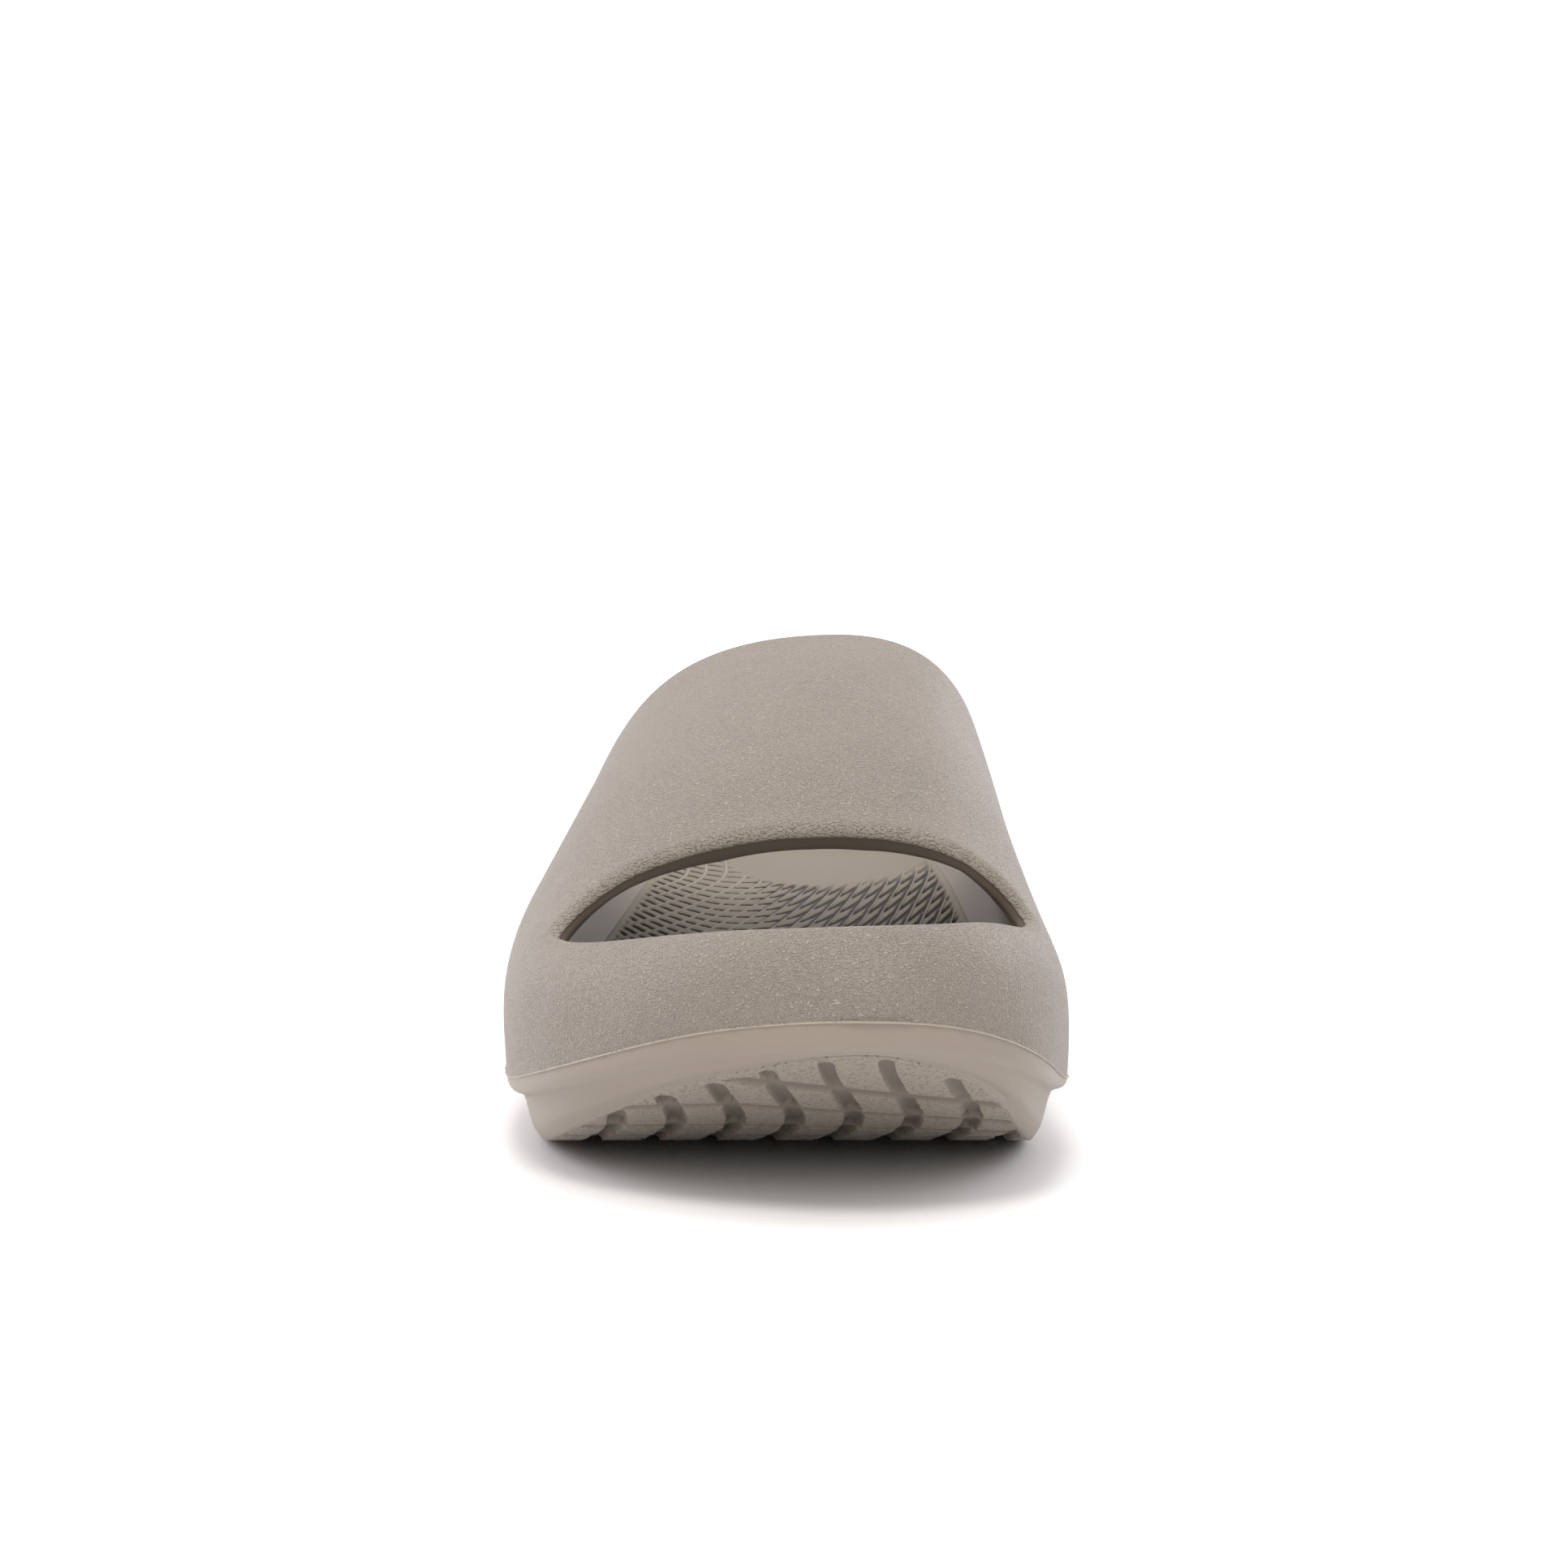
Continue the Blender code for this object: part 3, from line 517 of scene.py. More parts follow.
def front_edge(v):
    """How far behind the toe tip the strap's front edge lies, with its corner rounded."""
    sweep = (TOE_CORNER_ALONG - FRONT_EDGE_ALONG) * (1 - v) ** FRONT_EDGE_SWEEP
    return FRONT_EDGE_ALONG + sweep - TOE_CORNER_ROUND * corner_round(v, TOE_CORNER_SHARE)


def back_edge(v):
    """How far behind the toe tip the strap's back edge lies, as it sweeps down to the rim."""
    reach = COLLAR_CORNER_ALONG - COLLAR_CORNER_ROUND - BACK_EDGE_ALONG
    sweep = reach * (1 - v) ** BACK_EDGE_SWEEP
    return BACK_EDGE_ALONG + sweep + COLLAR_CORNER_ROUND * corner_round(v, COLLAR_CORNER_SHARE)


def strap_half(share, steps, lateral):
    """Half a row of the strap, from its rim line up to the ridge: share 0 is the front edge."""
    points = []
    for step in range(steps + 1):
        v = (step / steps) ** FOOT_CROWDING
        front = station_at(front_edge(v))
        station = front + (station_at(back_edge(v)) - front) * share
        point = strap_point(station if lateral else 2 * LAST - station, v)
        trim = table_at(EDGE_TRIM, point.x / MM) * MM
        point.z += trim * max(0.0, 1 - share / EDGE_TRIM_FADE) ** 2
        points.append(point)
    return points


def strap_row(share, steps):
    """A whole row of the strap, from the lateral rim line over the ridge to the medial one."""
    return strap_half(share, steps // 2, True) + strap_half(share, steps // 2, False)[-2::-1]


TOE_OPENING_END = station_at(front_edge(0))
COLLAR_END = station_at(back_edge(0))


def upper_stations():
    """The upper's stations from toe to heel, with a step at each end of the strap's foot."""
    toe_steps, strap_steps, heel_steps = UPPER_SPANS
    toe = np.linspace(0, TOE_OPENING_END, toe_steps, endpoint=False)
    strap = np.linspace(TOE_OPENING_END, COLLAR_END, strap_steps, endpoint=False)
    heel = np.linspace(COLLAR_END, LAST, heel_steps + 1)
    return [float(station) for station in np.concatenate((toe, strap, heel))]


def spans_of(spans):
    """Stations from toe to heel that are spaced evenly within each span."""
    parts = [np.linspace(start, end, steps, endpoint=False) for start, end, steps in spans]
    return [float(station) for station in np.concatenate(parts + [[LAST]])]


def ring_turns(down):
    """The turns of the mesh's columns: toe to heel on the lateral side, and back on the medial."""
    return down + [2 * LAST - station for station in down[-2:0:-1]]


def new_mesh(*marks):
    """An empty mesh whose points carry the named numbers for their material."""
    mesh = bmesh.new()
    for mark in marks:
        mesh.verts.layers.float.new(mark)
    return mesh


def add_strip(mesh, rows, closed=True, **marks):
    """Joins each row of points to the next with faces, and gives the points their marks."""
    corners = [[mesh.verts.new(point) for point in row] for row in rows]
    for mark, values in marks.items():
        layer = mesh.verts.layers.float[mark]
        table = np.broadcast_to(values, (len(rows), len(rows[0])))
        for line, numbers in zip(corners, table):
            for vertex, number in zip(line, numbers):
                vertex[layer] = float(number)
    for low, high in zip(corners, corners[1:]):
        count = len(low)
        for this in range(count if closed else count - 1):
            following = (this + 1) % count
            mesh.faces.new((low[this], low[following], high[following], high[this]))


def across_grid(loop, steps):
    """A grid of points from side to side of a loop: x, y and z, with a row for each station."""
    points = np.array([tuple(point) for point in loop])
    last = len(loop) // 2
    lateral = points[: last + 1]
    medial = points[[-place % len(loop) for place in range(last + 1)]]
    share = np.linspace(0, 1, steps + 1)[None, :, None]
    return np.moveaxis(lateral[:, None] * (1 - share) + medial[:, None] * share, 2, 0)


def add_grid(mesh, x, y, z, **marks):
    """Adds a grid as rows of faces."""
    add_strip(mesh, np.stack((x, y, z), axis=2).tolist(), closed=False, **marks)


def keep_border(height, border):
    """Heights inside a grid, with the border's own heights left at its ends."""
    height[:, 0], height[:, -1] = border[:, 0], border[:, -1]
    height[0], height[-1] = border[0], border[-1]
    return height


def add_object(name, data):
    """A new object in the scene."""
    thing = bpy.data.objects.new(name, data)
    bpy.context.scene.collection.objects.link(thing)
    return thing


def finish_piece(name, mesh, material, node):
    """Closes the strips into one skin with its faces outwards, and puts it in its node's place."""
    bmesh.ops.remove_doubles(mesh, verts=mesh.verts[:], dist=WELD_REACH)
    bmesh.ops.recalc_face_normals(mesh, faces=mesh.faces[:])
    bmesh.ops.translate(mesh, verts=mesh.verts[:], vec=-MIDDLE)
    data = bpy.data.meshes.new(name)
    mesh.to_mesh(data)
    mesh.free()
    data.materials.append(material)
    data.shade_smooth()
    data.set_sharp_from_angle(angle=math.radians(SHARP_ANGLE))
    piece = add_object(name, data)
    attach(piece, "root")
    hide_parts(node)
    return piece


def skin_normals(ring, strap, strap_from):
    """The normals of the outer skin at the rim line and on the strap."""
    mesh = bmesh.new()
    walls = [[mesh.verts.new(point) for point in column] for column in ring]
    count = len(walls)
    for this in range(count):
        low, high = walls[this], walls[(this + 1) % count]
        for row in range(len(low) - 1):
            mesh.faces.new((low[row], low[row + 1], high[row + 1], high[row]))
    bridge = []
    for place, section in enumerate(strap):
        column = strap_from + place
        inside = [mesh.verts.new(point) for point in section[1:-1]]
        bridge.append([walls[column][-1]] + inside + [walls[-column][-1]])
    for low, high in zip(bridge, bridge[1:]):
        for row in range(len(low) - 1):
            mesh.faces.new((low[row + 1], high[row + 1], high[row], low[row]))
    mesh.normal_update()
    rim = [column[-1].normal.copy() for column in walls]
    over = [[vertex.normal.copy() for vertex in section] for section in bridge]
    mesh.free()
    return rim, over


def rim_roll(points, normals, turn_sign):
    """The rows of a rolled rim along a closed loop: the roll, and the face that turns under."""
    count = len(points)
    profiles = []
    for place in range(count):
        point, normal = points[place], normals[place]
        run = (points[(place + 1) % count] - points[place - 1]).normalized()
        into = normal.cross(run).normalized() * turn_sign
        tall = table_at(FACE_TALL, point.x / MM)
        profile = []
        for row in RIM_ROWS:
            below = max(0.0, row.depth - PARTING_DEPTH) * tall
            depth = min(row.depth, PARTING_DEPTH) + below if row.into > 0 else row.depth
            profile.append(point - normal * STRAP_WALL * depth + into * STRAP_WALL * row.into)
        profiles.append(profile)
    return [list(row) for row in zip(*profiles)]


def inner_wall(turn, top, steps):
    """The inside of the wall, from the inner skin down and in to the edge of the footbed panel."""
    inset = panel_inset(turn)
    x, y = outline(turn) - outward(turn) * inset
    edge = Vector((x, y, bed_height(x, y)))
    low = top - rim_direction(turn, INNER_WALL_LEAN) * (top.z - edge.z) * INNER_WALL_FULLNESS
    slope = math.radians(BAND_SLOPE)
    out_x, out_y = outward(turn) * math.cos(slope)
    band = Vector((out_x, out_y, math.sin(slope))) * inset * (1 - CORE_SHARE)
    return bezier((top, low, edge + band, edge), steps)


def seam_flash(turn):
    """The rows of the thin flash under the wall's foot."""
    x = outline(turn)[0]
    wobble = sum((share * math.sin(turn * pace) for share, pace in FLASH_WAVES), start=1)
    flap = math.exp(-(((x - FLAP_ACROSS) / FLAP_REACH) ** 2)) * (toe_share(turn) > FLAP_TOE_SHARE)
    out = FLASH_OUT * wobble + FLAP_OUT * flap
    seam = seam_height(turn)
    return [
        inset_point(turn, SEAM_TUCK * tuck - out * reach, seam - FLASH_HEIGHT * fall)
        for tuck, reach, fall in FLASH_ROWS
    ]


def grain_of(rows):
    """How strong the grain is at each point of the outer skin."""
    along = np.array([[point.y for point in row] for row in rows]) + LENGTH / 2
    share = np.clip((TOE_GRAIN_END - along) / TOE_GRAIN_FADE, 0, 1)
    return STRAP_GRAIN + (TOE_GRAIN - STRAP_GRAIN) * share * share * (3 - 2 * share)


def inner_shade(rows):
    """Painted shade on the inner skin: darkest on the medial side, which little light reaches."""
    across = np.array([[point.x for point in row] for row in rows])
    medial = np.clip((across - MEDIAL_SHADE_FROM) / MEDIAL_SHADE_FADE, 0, 1)
    return INNER_SHADE + MEDIAL_SHADE * medial


def make_upper(material):
    """The foam body: toe bumper, side walls, strap and heel rim, grained outside, smooth inside."""
    toe_steps, strap_steps, _ = UPPER_SPANS
    turns = ring_turns(upper_stations())
    count = len(turns)
    ring = [outer_wall(turn, WALL_STEPS) for turn in turns]
    strap = [strap_row(step / strap_steps, ARCH_STEPS) for step in range(strap_steps + 1)]
    rim_normals, strap_normals = skin_normals(ring, strap, toe_steps)
    mesh = new_mesh("grain", "flash", "shade")
    walls = [[column[row] for column in ring] for row in range(WALL_STEPS + 1)]
    add_strip(mesh, walls, grain=grain_of(walls))
    add_strip(mesh, strap, closed=False, grain=grain_of(strap))
    under_strap = [
        [point - normal * STRAP_WALL for point, normal in zip(section, normals)]
        for section, normals in zip(strap, strap_normals)
    ]
    add_strip(mesh, under_strap, closed=False, shade=inner_shade(under_strap))

    # The two rims, each a loop over the wall's columns and back along the strap's edge
    toe_columns = [place % count for place in range(toe_steps, -toe_steps - 1, -1)]
    collar_from = toe_steps + strap_steps
    collar_columns = list(range(collar_from, count - collar_from + 1))
    for columns, edge, sign in ((toe_columns, 0, 1), (collar_columns, -1, -1)):
        loop = [ring[column][-1] for column in columns] + strap[edge][-2:0:-1]
        normals = [rim_normals[column] for column in columns] + strap_normals[edge][-2:0:-1]
        # The smooth face under the strap's front edge gets full painted shade, the faces at other
        # rims less
        under_edge = [sign > 0 and place > 2 * toe_steps for place in range(len(loop))]
        painted_face_shade = np.where(under_edge, 1.0, FACE_SHADE_ELSEWHERE)[None, :]
        # Per row: grain, the paler colour that is painted light up the roll, and painted shade on
        # the face
        grain, parting, face = (
            np.array([getattr(row, name) for row in RIM_ROWS])[:, None]
            for name in ("grain", "parting", "face")
        )
        rolled = rim_roll(loop, normals, sign)
        add_strip(mesh, rolled, grain=grain, flash=parting, shade=face * painted_face_shade)

    # The inner skin, the seat of the panel and the sole's core, and the flash back to the seam
    inside = []
    for turn, column, normal in zip(turns, ring, rim_normals):
        wall = inner_wall(turn, column[-1] - normal * STRAP_WALL, INNER_STEPS)
        below = wall[-1] - Vector((0, 0, PANEL_THICKNESS))
        x, y = outline(turn) - outward(turn) * panel_inset(turn) * CORE_SHARE
        corner = Vector((x, y, bed_height(x, y) - PANEL_THICKNESS))
        foot = Vector((x, y, seam_height(turn)))
        inside.append(wall + [below, corner, foot] + seam_flash(turn))
    rows = [[column[row] for column in inside] for row in range(len(inside[0]))]
    flash_rows = slice(-len(FLASH_ROWS) + 1, -1)
    flash = np.zeros((len(rows), 1))
    flash[flash_rows] = 1
    # Painted shade on the inner skin, none on the flash
    shade = inner_shade(rows)
    shade[flash_rows.start :] = 0
    add_strip(mesh, rows, flash=flash, shade=shade)
    return finish_piece("upper_skin", mesh, material, "upper")


def sole_side(turn):
    """The points of the sole's side, from the edge of its core down to the tread."""
    core_x, core_y = outline(turn) - outward(turn) * (panel_inset(turn) * CORE_SHARE + CLEARANCE)
    core_top = bed_height(core_x, core_y) - PANEL_THICKNESS - CLEARANCE
    seam = seam_height(turn) - CLEARANCE
    toe = toe_share(turn)
    medial = min(1.0, max(0.0, 0.5 + outline(turn)[0] / LEDGE_BLEND))
    plain = LEDGE_HEIGHT * (1 - MEDIAL_LEDGE_THINNER * medial)
    ledge = plain + (LEDGE_HEIGHT_AT_TOE - plain) * toe
    inset = TREAD_INSET + (TREAD_INSET_AT_TOE - TREAD_INSET) * toe
    tread = tread_height((outline(turn) - outward(turn) * inset)[1])
    under = seam - ledge
    side = [Vector((core_x, core_y, core_top)), Vector((core_x, core_y, seam))]
    for inwards, down in LEDGE_ROWS:
        step_in = SEAM_TUCK + (LEDGE_DEPTH - SEAM_TUCK) * inwards
        side.append(inset_point(turn, step_in, seam - ledge * down))
    for inwards, down in RECESS_ROWS:
        step_in = LEDGE_DEPTH + (inset - LEDGE_DEPTH) * inwards
        side.append(inset_point(turn, step_in, under - (under - tread) * down))
    for inwards, up in TREAD_EDGE_ROWS:
        edge = inset + TREAD_EDGE_ROUND * inwards
        side.append(inset_point(turn, edge, tread + TREAD_EDGE_ROUND * up))
    return side


def groove_centre(line, along):
    """How far to the side a groove's wavy line lies, at a distance behind the toe tip."""
    wave = np.cos(2 * np.pi * (along - GROOVE_WAVE_PEAK) / GROOVE_WAVE_LENGTH)
    return line * GROOVE_PITCH + GROOVE_MIDDLE_ACROSS + GROOVE_WAVE * wave


def sipe_along(sipe, x):
    """Where a crossing channel lies behind the toe tip: straight, and turned at its lateral end."""
    turned = SIPE_TURN_BACK * sipe.slope * np.minimum(0, x - SIPE_BEND)
    return sipe.along * MM + sipe.slope * np.maximum(x, SIPE_BEND) - turned


def tread_cut(x, along):
    """How deep the tread is cut: wavy grooves in steps, and the channels that cross them."""
    edge = np.minimum(x - x[:, :1], x[:, -1:] - x)
    inside = np.clip(edge / EDGE_MARGIN - EDGE_UNCUT, 0, 1)
    crossings = [sipe_along(sipe, x) for sipe in SIPES]
    first = crossings[0]
    forefoot, heel = crossings[:FOREFOOT_SIPES], crossings[FOREFOOT_SIPES:]
    marks = [first - TOE_SIPE_PITCH, *forefoot, forefoot[-1] + SIPE_PITCH]
    marks += [*heel, heel[-1] + SIPE_PITCH]
    cut = np.zeros_like(x)
    for line in GROOVE_LINES:
        aside = np.abs(x - groove_centre(line, along))
        bowed = along - STEP_BOW * aside**2 / MM
        phase = np.zeros_like(x)
        for low, high in zip(marks, marks[1:]):
            share = (bowed - low) / (high - low)
            phase = np.where((share >= 0) & (share < 1), share, phase)
        half = np.where(bowed < first, FIRST_HALF, LATER_HALF)
        start = GROOVE_STARTS[line] * MM + FIRST_HALF
        before = np.maximum(start - along, np.maximum(along - GROOVE_FOREFOOT_END, 0))
        at_heel = along > GROOVE_ZONE_SPLIT
        beyond = np.where(at_heel, np.maximum(GROOVE_HEEL_START - along, 0), before)
        reach = np.hypot(aside, beyond) / half
        bowl = np.sqrt(np.clip(1 - reach**GROOVE_SQUARENESS, 0, 1))
        later_step = STEP_DEPTH + (1 - STEP_DEPTH) * phase**STEP_EASE
        step = np.where(bowed < first, FIRST_STEP[0] + FIRST_STEP[1] * phase, later_step)
        cut = np.maximum(cut, GROOVE_DEPTH * step * bowl)
    for sipe, place in zip(SIPES, crossings):
        width = sipe.width * MM * np.clip((x - sipe.left * MM) / SIPE_TAPER, 0, 1)
        away = np.abs(along - place) / (np.maximum(width, SIPE_THINNEST) / 2)
        bowl = np.sqrt(np.clip(1 - away**SIPE_SQUARENESS, 0, 1))
        cut = np.maximum(cut, SIPE_DEPTH * bowl * (width > 0))
    return cut * inside


def make_sole(material):
    """The smooth sole unit: stepped side, sprung tread, and a core that fills the upper."""
    sides = [sole_side(turn) for turn in ring_turns(spans_of(SOLE_SPANS))]
    rows = [[side[row] for side in sides] for row in range(len(sides[0]))]
    mesh = new_mesh("tread", "cut")
    tread = np.zeros((len(rows), 1))
    tread[-1] = 1
    add_strip(mesh, rows, tread=tread)
    x, y, border = across_grid(rows[0], HIDDEN_ACROSS)
    height = bed_height(x, y) - PANEL_THICKNESS - CLEARANCE
    add_grid(mesh, x, y, keep_border(height, border))
    x, y, border = across_grid(rows[-1], TREAD_ACROSS)
    cut = tread_cut(x, y + LENGTH / 2)
    height = keep_border(tread_height(y) + cut, border)
    add_grid(mesh, x, y, height, tread=1.0, cut=cut / GROOVE_DEPTH)
    return finish_piece("sole_unit", mesh, material, "sole")


def table_at(table, places):
    """A table's value at each place, in a straight line between its entries."""
    at, value = zip(*table)
    return np.interp(places, at, value)


def summed(table, ends, zero):
    """Places between two ends, and the running sum of a table's value from a zero place."""
    places = np.linspace(*ends, TABLE_STEPS)
    values = table_at(table, places)
    steps = (values[1:] + values[:-1]) / 2 * np.diff(places)
    total = np.concatenate(([0], np.cumsum(steps)))
    return places, total - np.interp(zero, places, total)


def footbed_fields(x, y):
    """The footbed's pattern fields: the ridge number and the rung number, at each place."""
    across = (x - MIDDLE.x) / MM
    along = (y + LENGTH / 2) / MM
    along = FOLD_AT + np.hypot(along - FOLD_AT, FOLD_ROUND)
    places, lean = summed(RIDGE_LEAN, PATTERN_ACROSS, RUNG_FROM)
    rows, turned = summed(RIDGE_TURN, PATTERN_ALONG, RIDGES_AT)
    level = np.interp(across, places, lean) - np.interp(along, rows, turned)
    start = np.interp(level, lean, places)
    ridge = np.interp(start, RIDGES, np.arange(len(RIDGES)))
    places, rise = summed(RUNG_SLOPE, PATTERN_ACROSS, RUNG_FROM)
    rung = (along - RUNG_AT - np.interp(across, places, rise)) / table_at(RUNG_PITCH, across)
    return ridge, rung + RUNGS_BEFORE


def spread(field, x, y):
    """How many metres one step of a field takes, at each place."""
    step = 0.1 * MM
    change_x = (field(x + step, y) - field(x - step, y)) / (2 * step)
    change_y = (field(x, y + step) - field(x, y - step)) / (2 * step)
    return 1 / np.maximum(np.hypot(change_x, change_y), 1)


def near(field):
    """The distance to the nearest whole number."""
    return np.abs(field - np.round(field))


def make_footbed(material):
    """The footbed panel: leaning ridges with slots between them, a plain oval and a border."""
    top, bottom = [], []
    for turn in ring_turns(spans_of(BED_SPANS)):
        x, y = outline(turn) - outward(turn) * panel_inset(turn)
        top.append(Vector((x, y, bed_height(x, y))))
        bottom.append(Vector((x, y, bed_height(x, y) - PANEL_THICKNESS)))
    mesh = new_mesh("ridge", "rung", "row", "pitch", "medial", "bare")
    add_strip(mesh, [bottom, top], bare=1.0)
    x, y, border = across_grid(bottom, HIDDEN_ACROSS)
    add_grid(mesh, x, y, keep_border(bed_height(x, y) - PANEL_THICKNESS, border), bare=1.0)

    x, y, border = across_grid(top, BED_ACROSS)
    ridge, rung = footbed_fields(x, y)
    row = spread(lambda a, b: footbed_fields(a, b)[0], x, y)
    pitch = spread(lambda a, b: footbed_fields(a, b)[1], x, y)
    across = (x - MIDDLE.x) / MM
    along = (y + LENGTH / 2) / MM
    medial = np.clip(1 - across / MEDIAL_FROM, 0, 1)
    reach = np.where(across < BARE_PLACE[0], BARE_REACH[0], BARE_REACH[1])
    oval = np.hypot((across - BARE_PLACE[0]) / reach, (along - BARE_PLACE[1]) / BARE_REACH[2])
    fade = np.where(across < BARE_PLACE[0], *BARE_FADE)
    edge = np.minimum(x - x[:, :1], x[:, -1:] - x)
    edge = np.minimum(edge, np.minimum(y - y.min(), y.max() - y))
    bare = np.clip((1 + fade - oval) / fade, 0, 1)
    bare = np.maximum(bare, np.clip(BED_RIM_PLAIN - edge / BED_RIM_WIDTH, 0, 1))

    place = ridge - np.floor(ridge)
    crest = np.exp(-((near(ridge) * row / RIDGE_HALF) ** 2))
    crown = 4 * place * (1 - place) * ROW_CROWN
    widening = (MEDIAL_SLOT_HALF[0] + MEDIAL_SLOT_HALF[1] * place) * MM
    slot_half = np.where(medial > 0.5, widening, SLOT_HALF)
    starts = np.clip((place - SLOT_FROM) / SLOT_FROM_FADE, 0, 1)
    ends = np.clip((SLOT_TO + SLOT_TO_FADE * medial - place) / SLOT_TO_FADE, 0, 1)
    slot = np.exp(-((near(rung) * pitch / slot_half) ** 2)) * (starts * ends)
    gutter = np.exp(-(((place - GUTTER_PLACE) * row / GUTTER_HALF) ** 2)) * medial
    hollow = np.maximum(slot, gutter * GUTTER_DEPTH) * RUNG_DEPTH
    relief = (crest * RIDGE_HEIGHT + crown - hollow) * (1 - bare)
    border_round = np.sin(np.pi * np.clip(edge / BED_RIM_WIDTH, 0, 1)) * BED_RIM_HEIGHT
    height = bed_height(x, y) + relief + border_round
    add_grid(mesh, x, y, keep_border(height, border), ridge=ridge, rung=rung, row=row / MM,
             pitch=pitch / MM, medial=medial, bare=bare)
    return finish_piece("footbed_panel", mesh, material, "footbed")


def linear(colour):
    """A colour from its sRGB hex value."""
    parts = [int(colour[place : place + 2], 16) / 255 for place in (1, 3, 5)]
    return [
        part / 12.92 if part <= 0.04045 else ((part + 0.055) / 1.055) ** 2.4 for part in parts
    ] + [1]


def set_inputs(tree, node, inputs):
    """Gives each of a node's inputs its value, or links it to another node's output."""
    for key, value in inputs.items():
        if isinstance(value, bpy.types.NodeSocket):
            tree.links.new(value, node.inputs[key])
        else:
            node.inputs[key].default_value = value


def add_node(tree, kind, inputs, out=0, **settings):
    """Adds a shader node with its settings and links, and gives one of its outputs."""
    node = tree.nodes.new("ShaderNode" + kind)
    for name, value in settings.items():
        setattr(node, name, value)
    set_inputs(tree, node, inputs)
    return node.outputs[out]


def per_mm(size):
    """The scale of a pattern whose repeat is this many millimetres."""
    return 1 / (size * MM)


# Colours of the foam: its skin drifts between two tones. The others are painted: shade on the
# smooth skin, in the tread's grooves and in the footbed's slots, light on the footbed's ridges, and
# a paler flash colour that is also painted light up the rolls.
SKIN_TONES = ("#857A6F", "#8E8378")
SKIN_IN_SHADE = "#6A5E54"
# Paler colour of the seam flash and the parting line, also painted light up the rolls' undersides
FLASH_AND_PAINTED_LIGHT_COLOUR = "#A3988A"
SOLE_TONES = ("#8A7E72", "#92867A")
GROOVE_PAINTED_SHADE = "#544A42"
BED_TONES = ("#716656", "#796E5E")
RIDGE_PAINTED_LIGHT = "#897D6D"
SLOT_PAINTED_SHADE = "#291F18"
WHITE = "#FFFFFF"

# Sizes of the finishes, in millimetres. A mould etched like leather has wrinkles of about half a
# millimetre. The pores between them are under 0.1 mm and the tread's stipple is about 0.4 mm; both
# are too fine to show, and are drawn as coarse as the render needs.
WRINKLE_SIZE = 0.48
PORE_SIZE = 0.3
PATCH_SIZE = 14
STIPPLE_SIZE = 0.9
GRAIN_DEPTH = 0.36 * MM
STIPPLE_DEPTH = 0.18 * MM
PATTERN_DEPTH = 0.2 * MM

# What the shader of every finish has: the foam's IOR, and the faint sheen of its closed cells
FOAM_SHADER = {
    "IOR": 1.45, "Specular IOR Level": 0.42, "Sheen Weight": 0.12, "Sheen Roughness": 0.5
}
COLOURS = {"out": 2, "data_type": "RGBA"}


def new_foam(name, tones, drift, marks):
    """A foam material, what adds its nodes, where its patterns lie, its base tone and its marks."""
    material = bpy.data.materials.new(name)
    material.use_nodes = True
    add = partial(add_node, material.node_tree)
    place = add("TexCoord", {}, out="Object")
    broad = add("TexNoise", {"Vector": place, "Scale": per_mm(drift), "Detail": 2.0})
    base = add("Mix", {0: broad, 6: linear(tones[0]), 7: linear(tones[1])}, **COLOURS)
    values = {mark: add("Attribute", {}, out="Fac", attribute_name=mark) for mark in marks}
    return material, add, place, base, values


def finish_foam(material, add, colour, height, depth, roughness):
    """Gives a foam material its colour, its relief and its gloss."""
    bump = add("Bump", {"Strength": 1.0, "Distance": depth, "Height": height})
    tree = material.node_tree
    own = {"Base Color": colour, "Normal": bump, "Roughness": roughness}
    set_inputs(tree, tree.nodes["Principled BSDF"], {**own, **FOAM_SHADER})
    return material


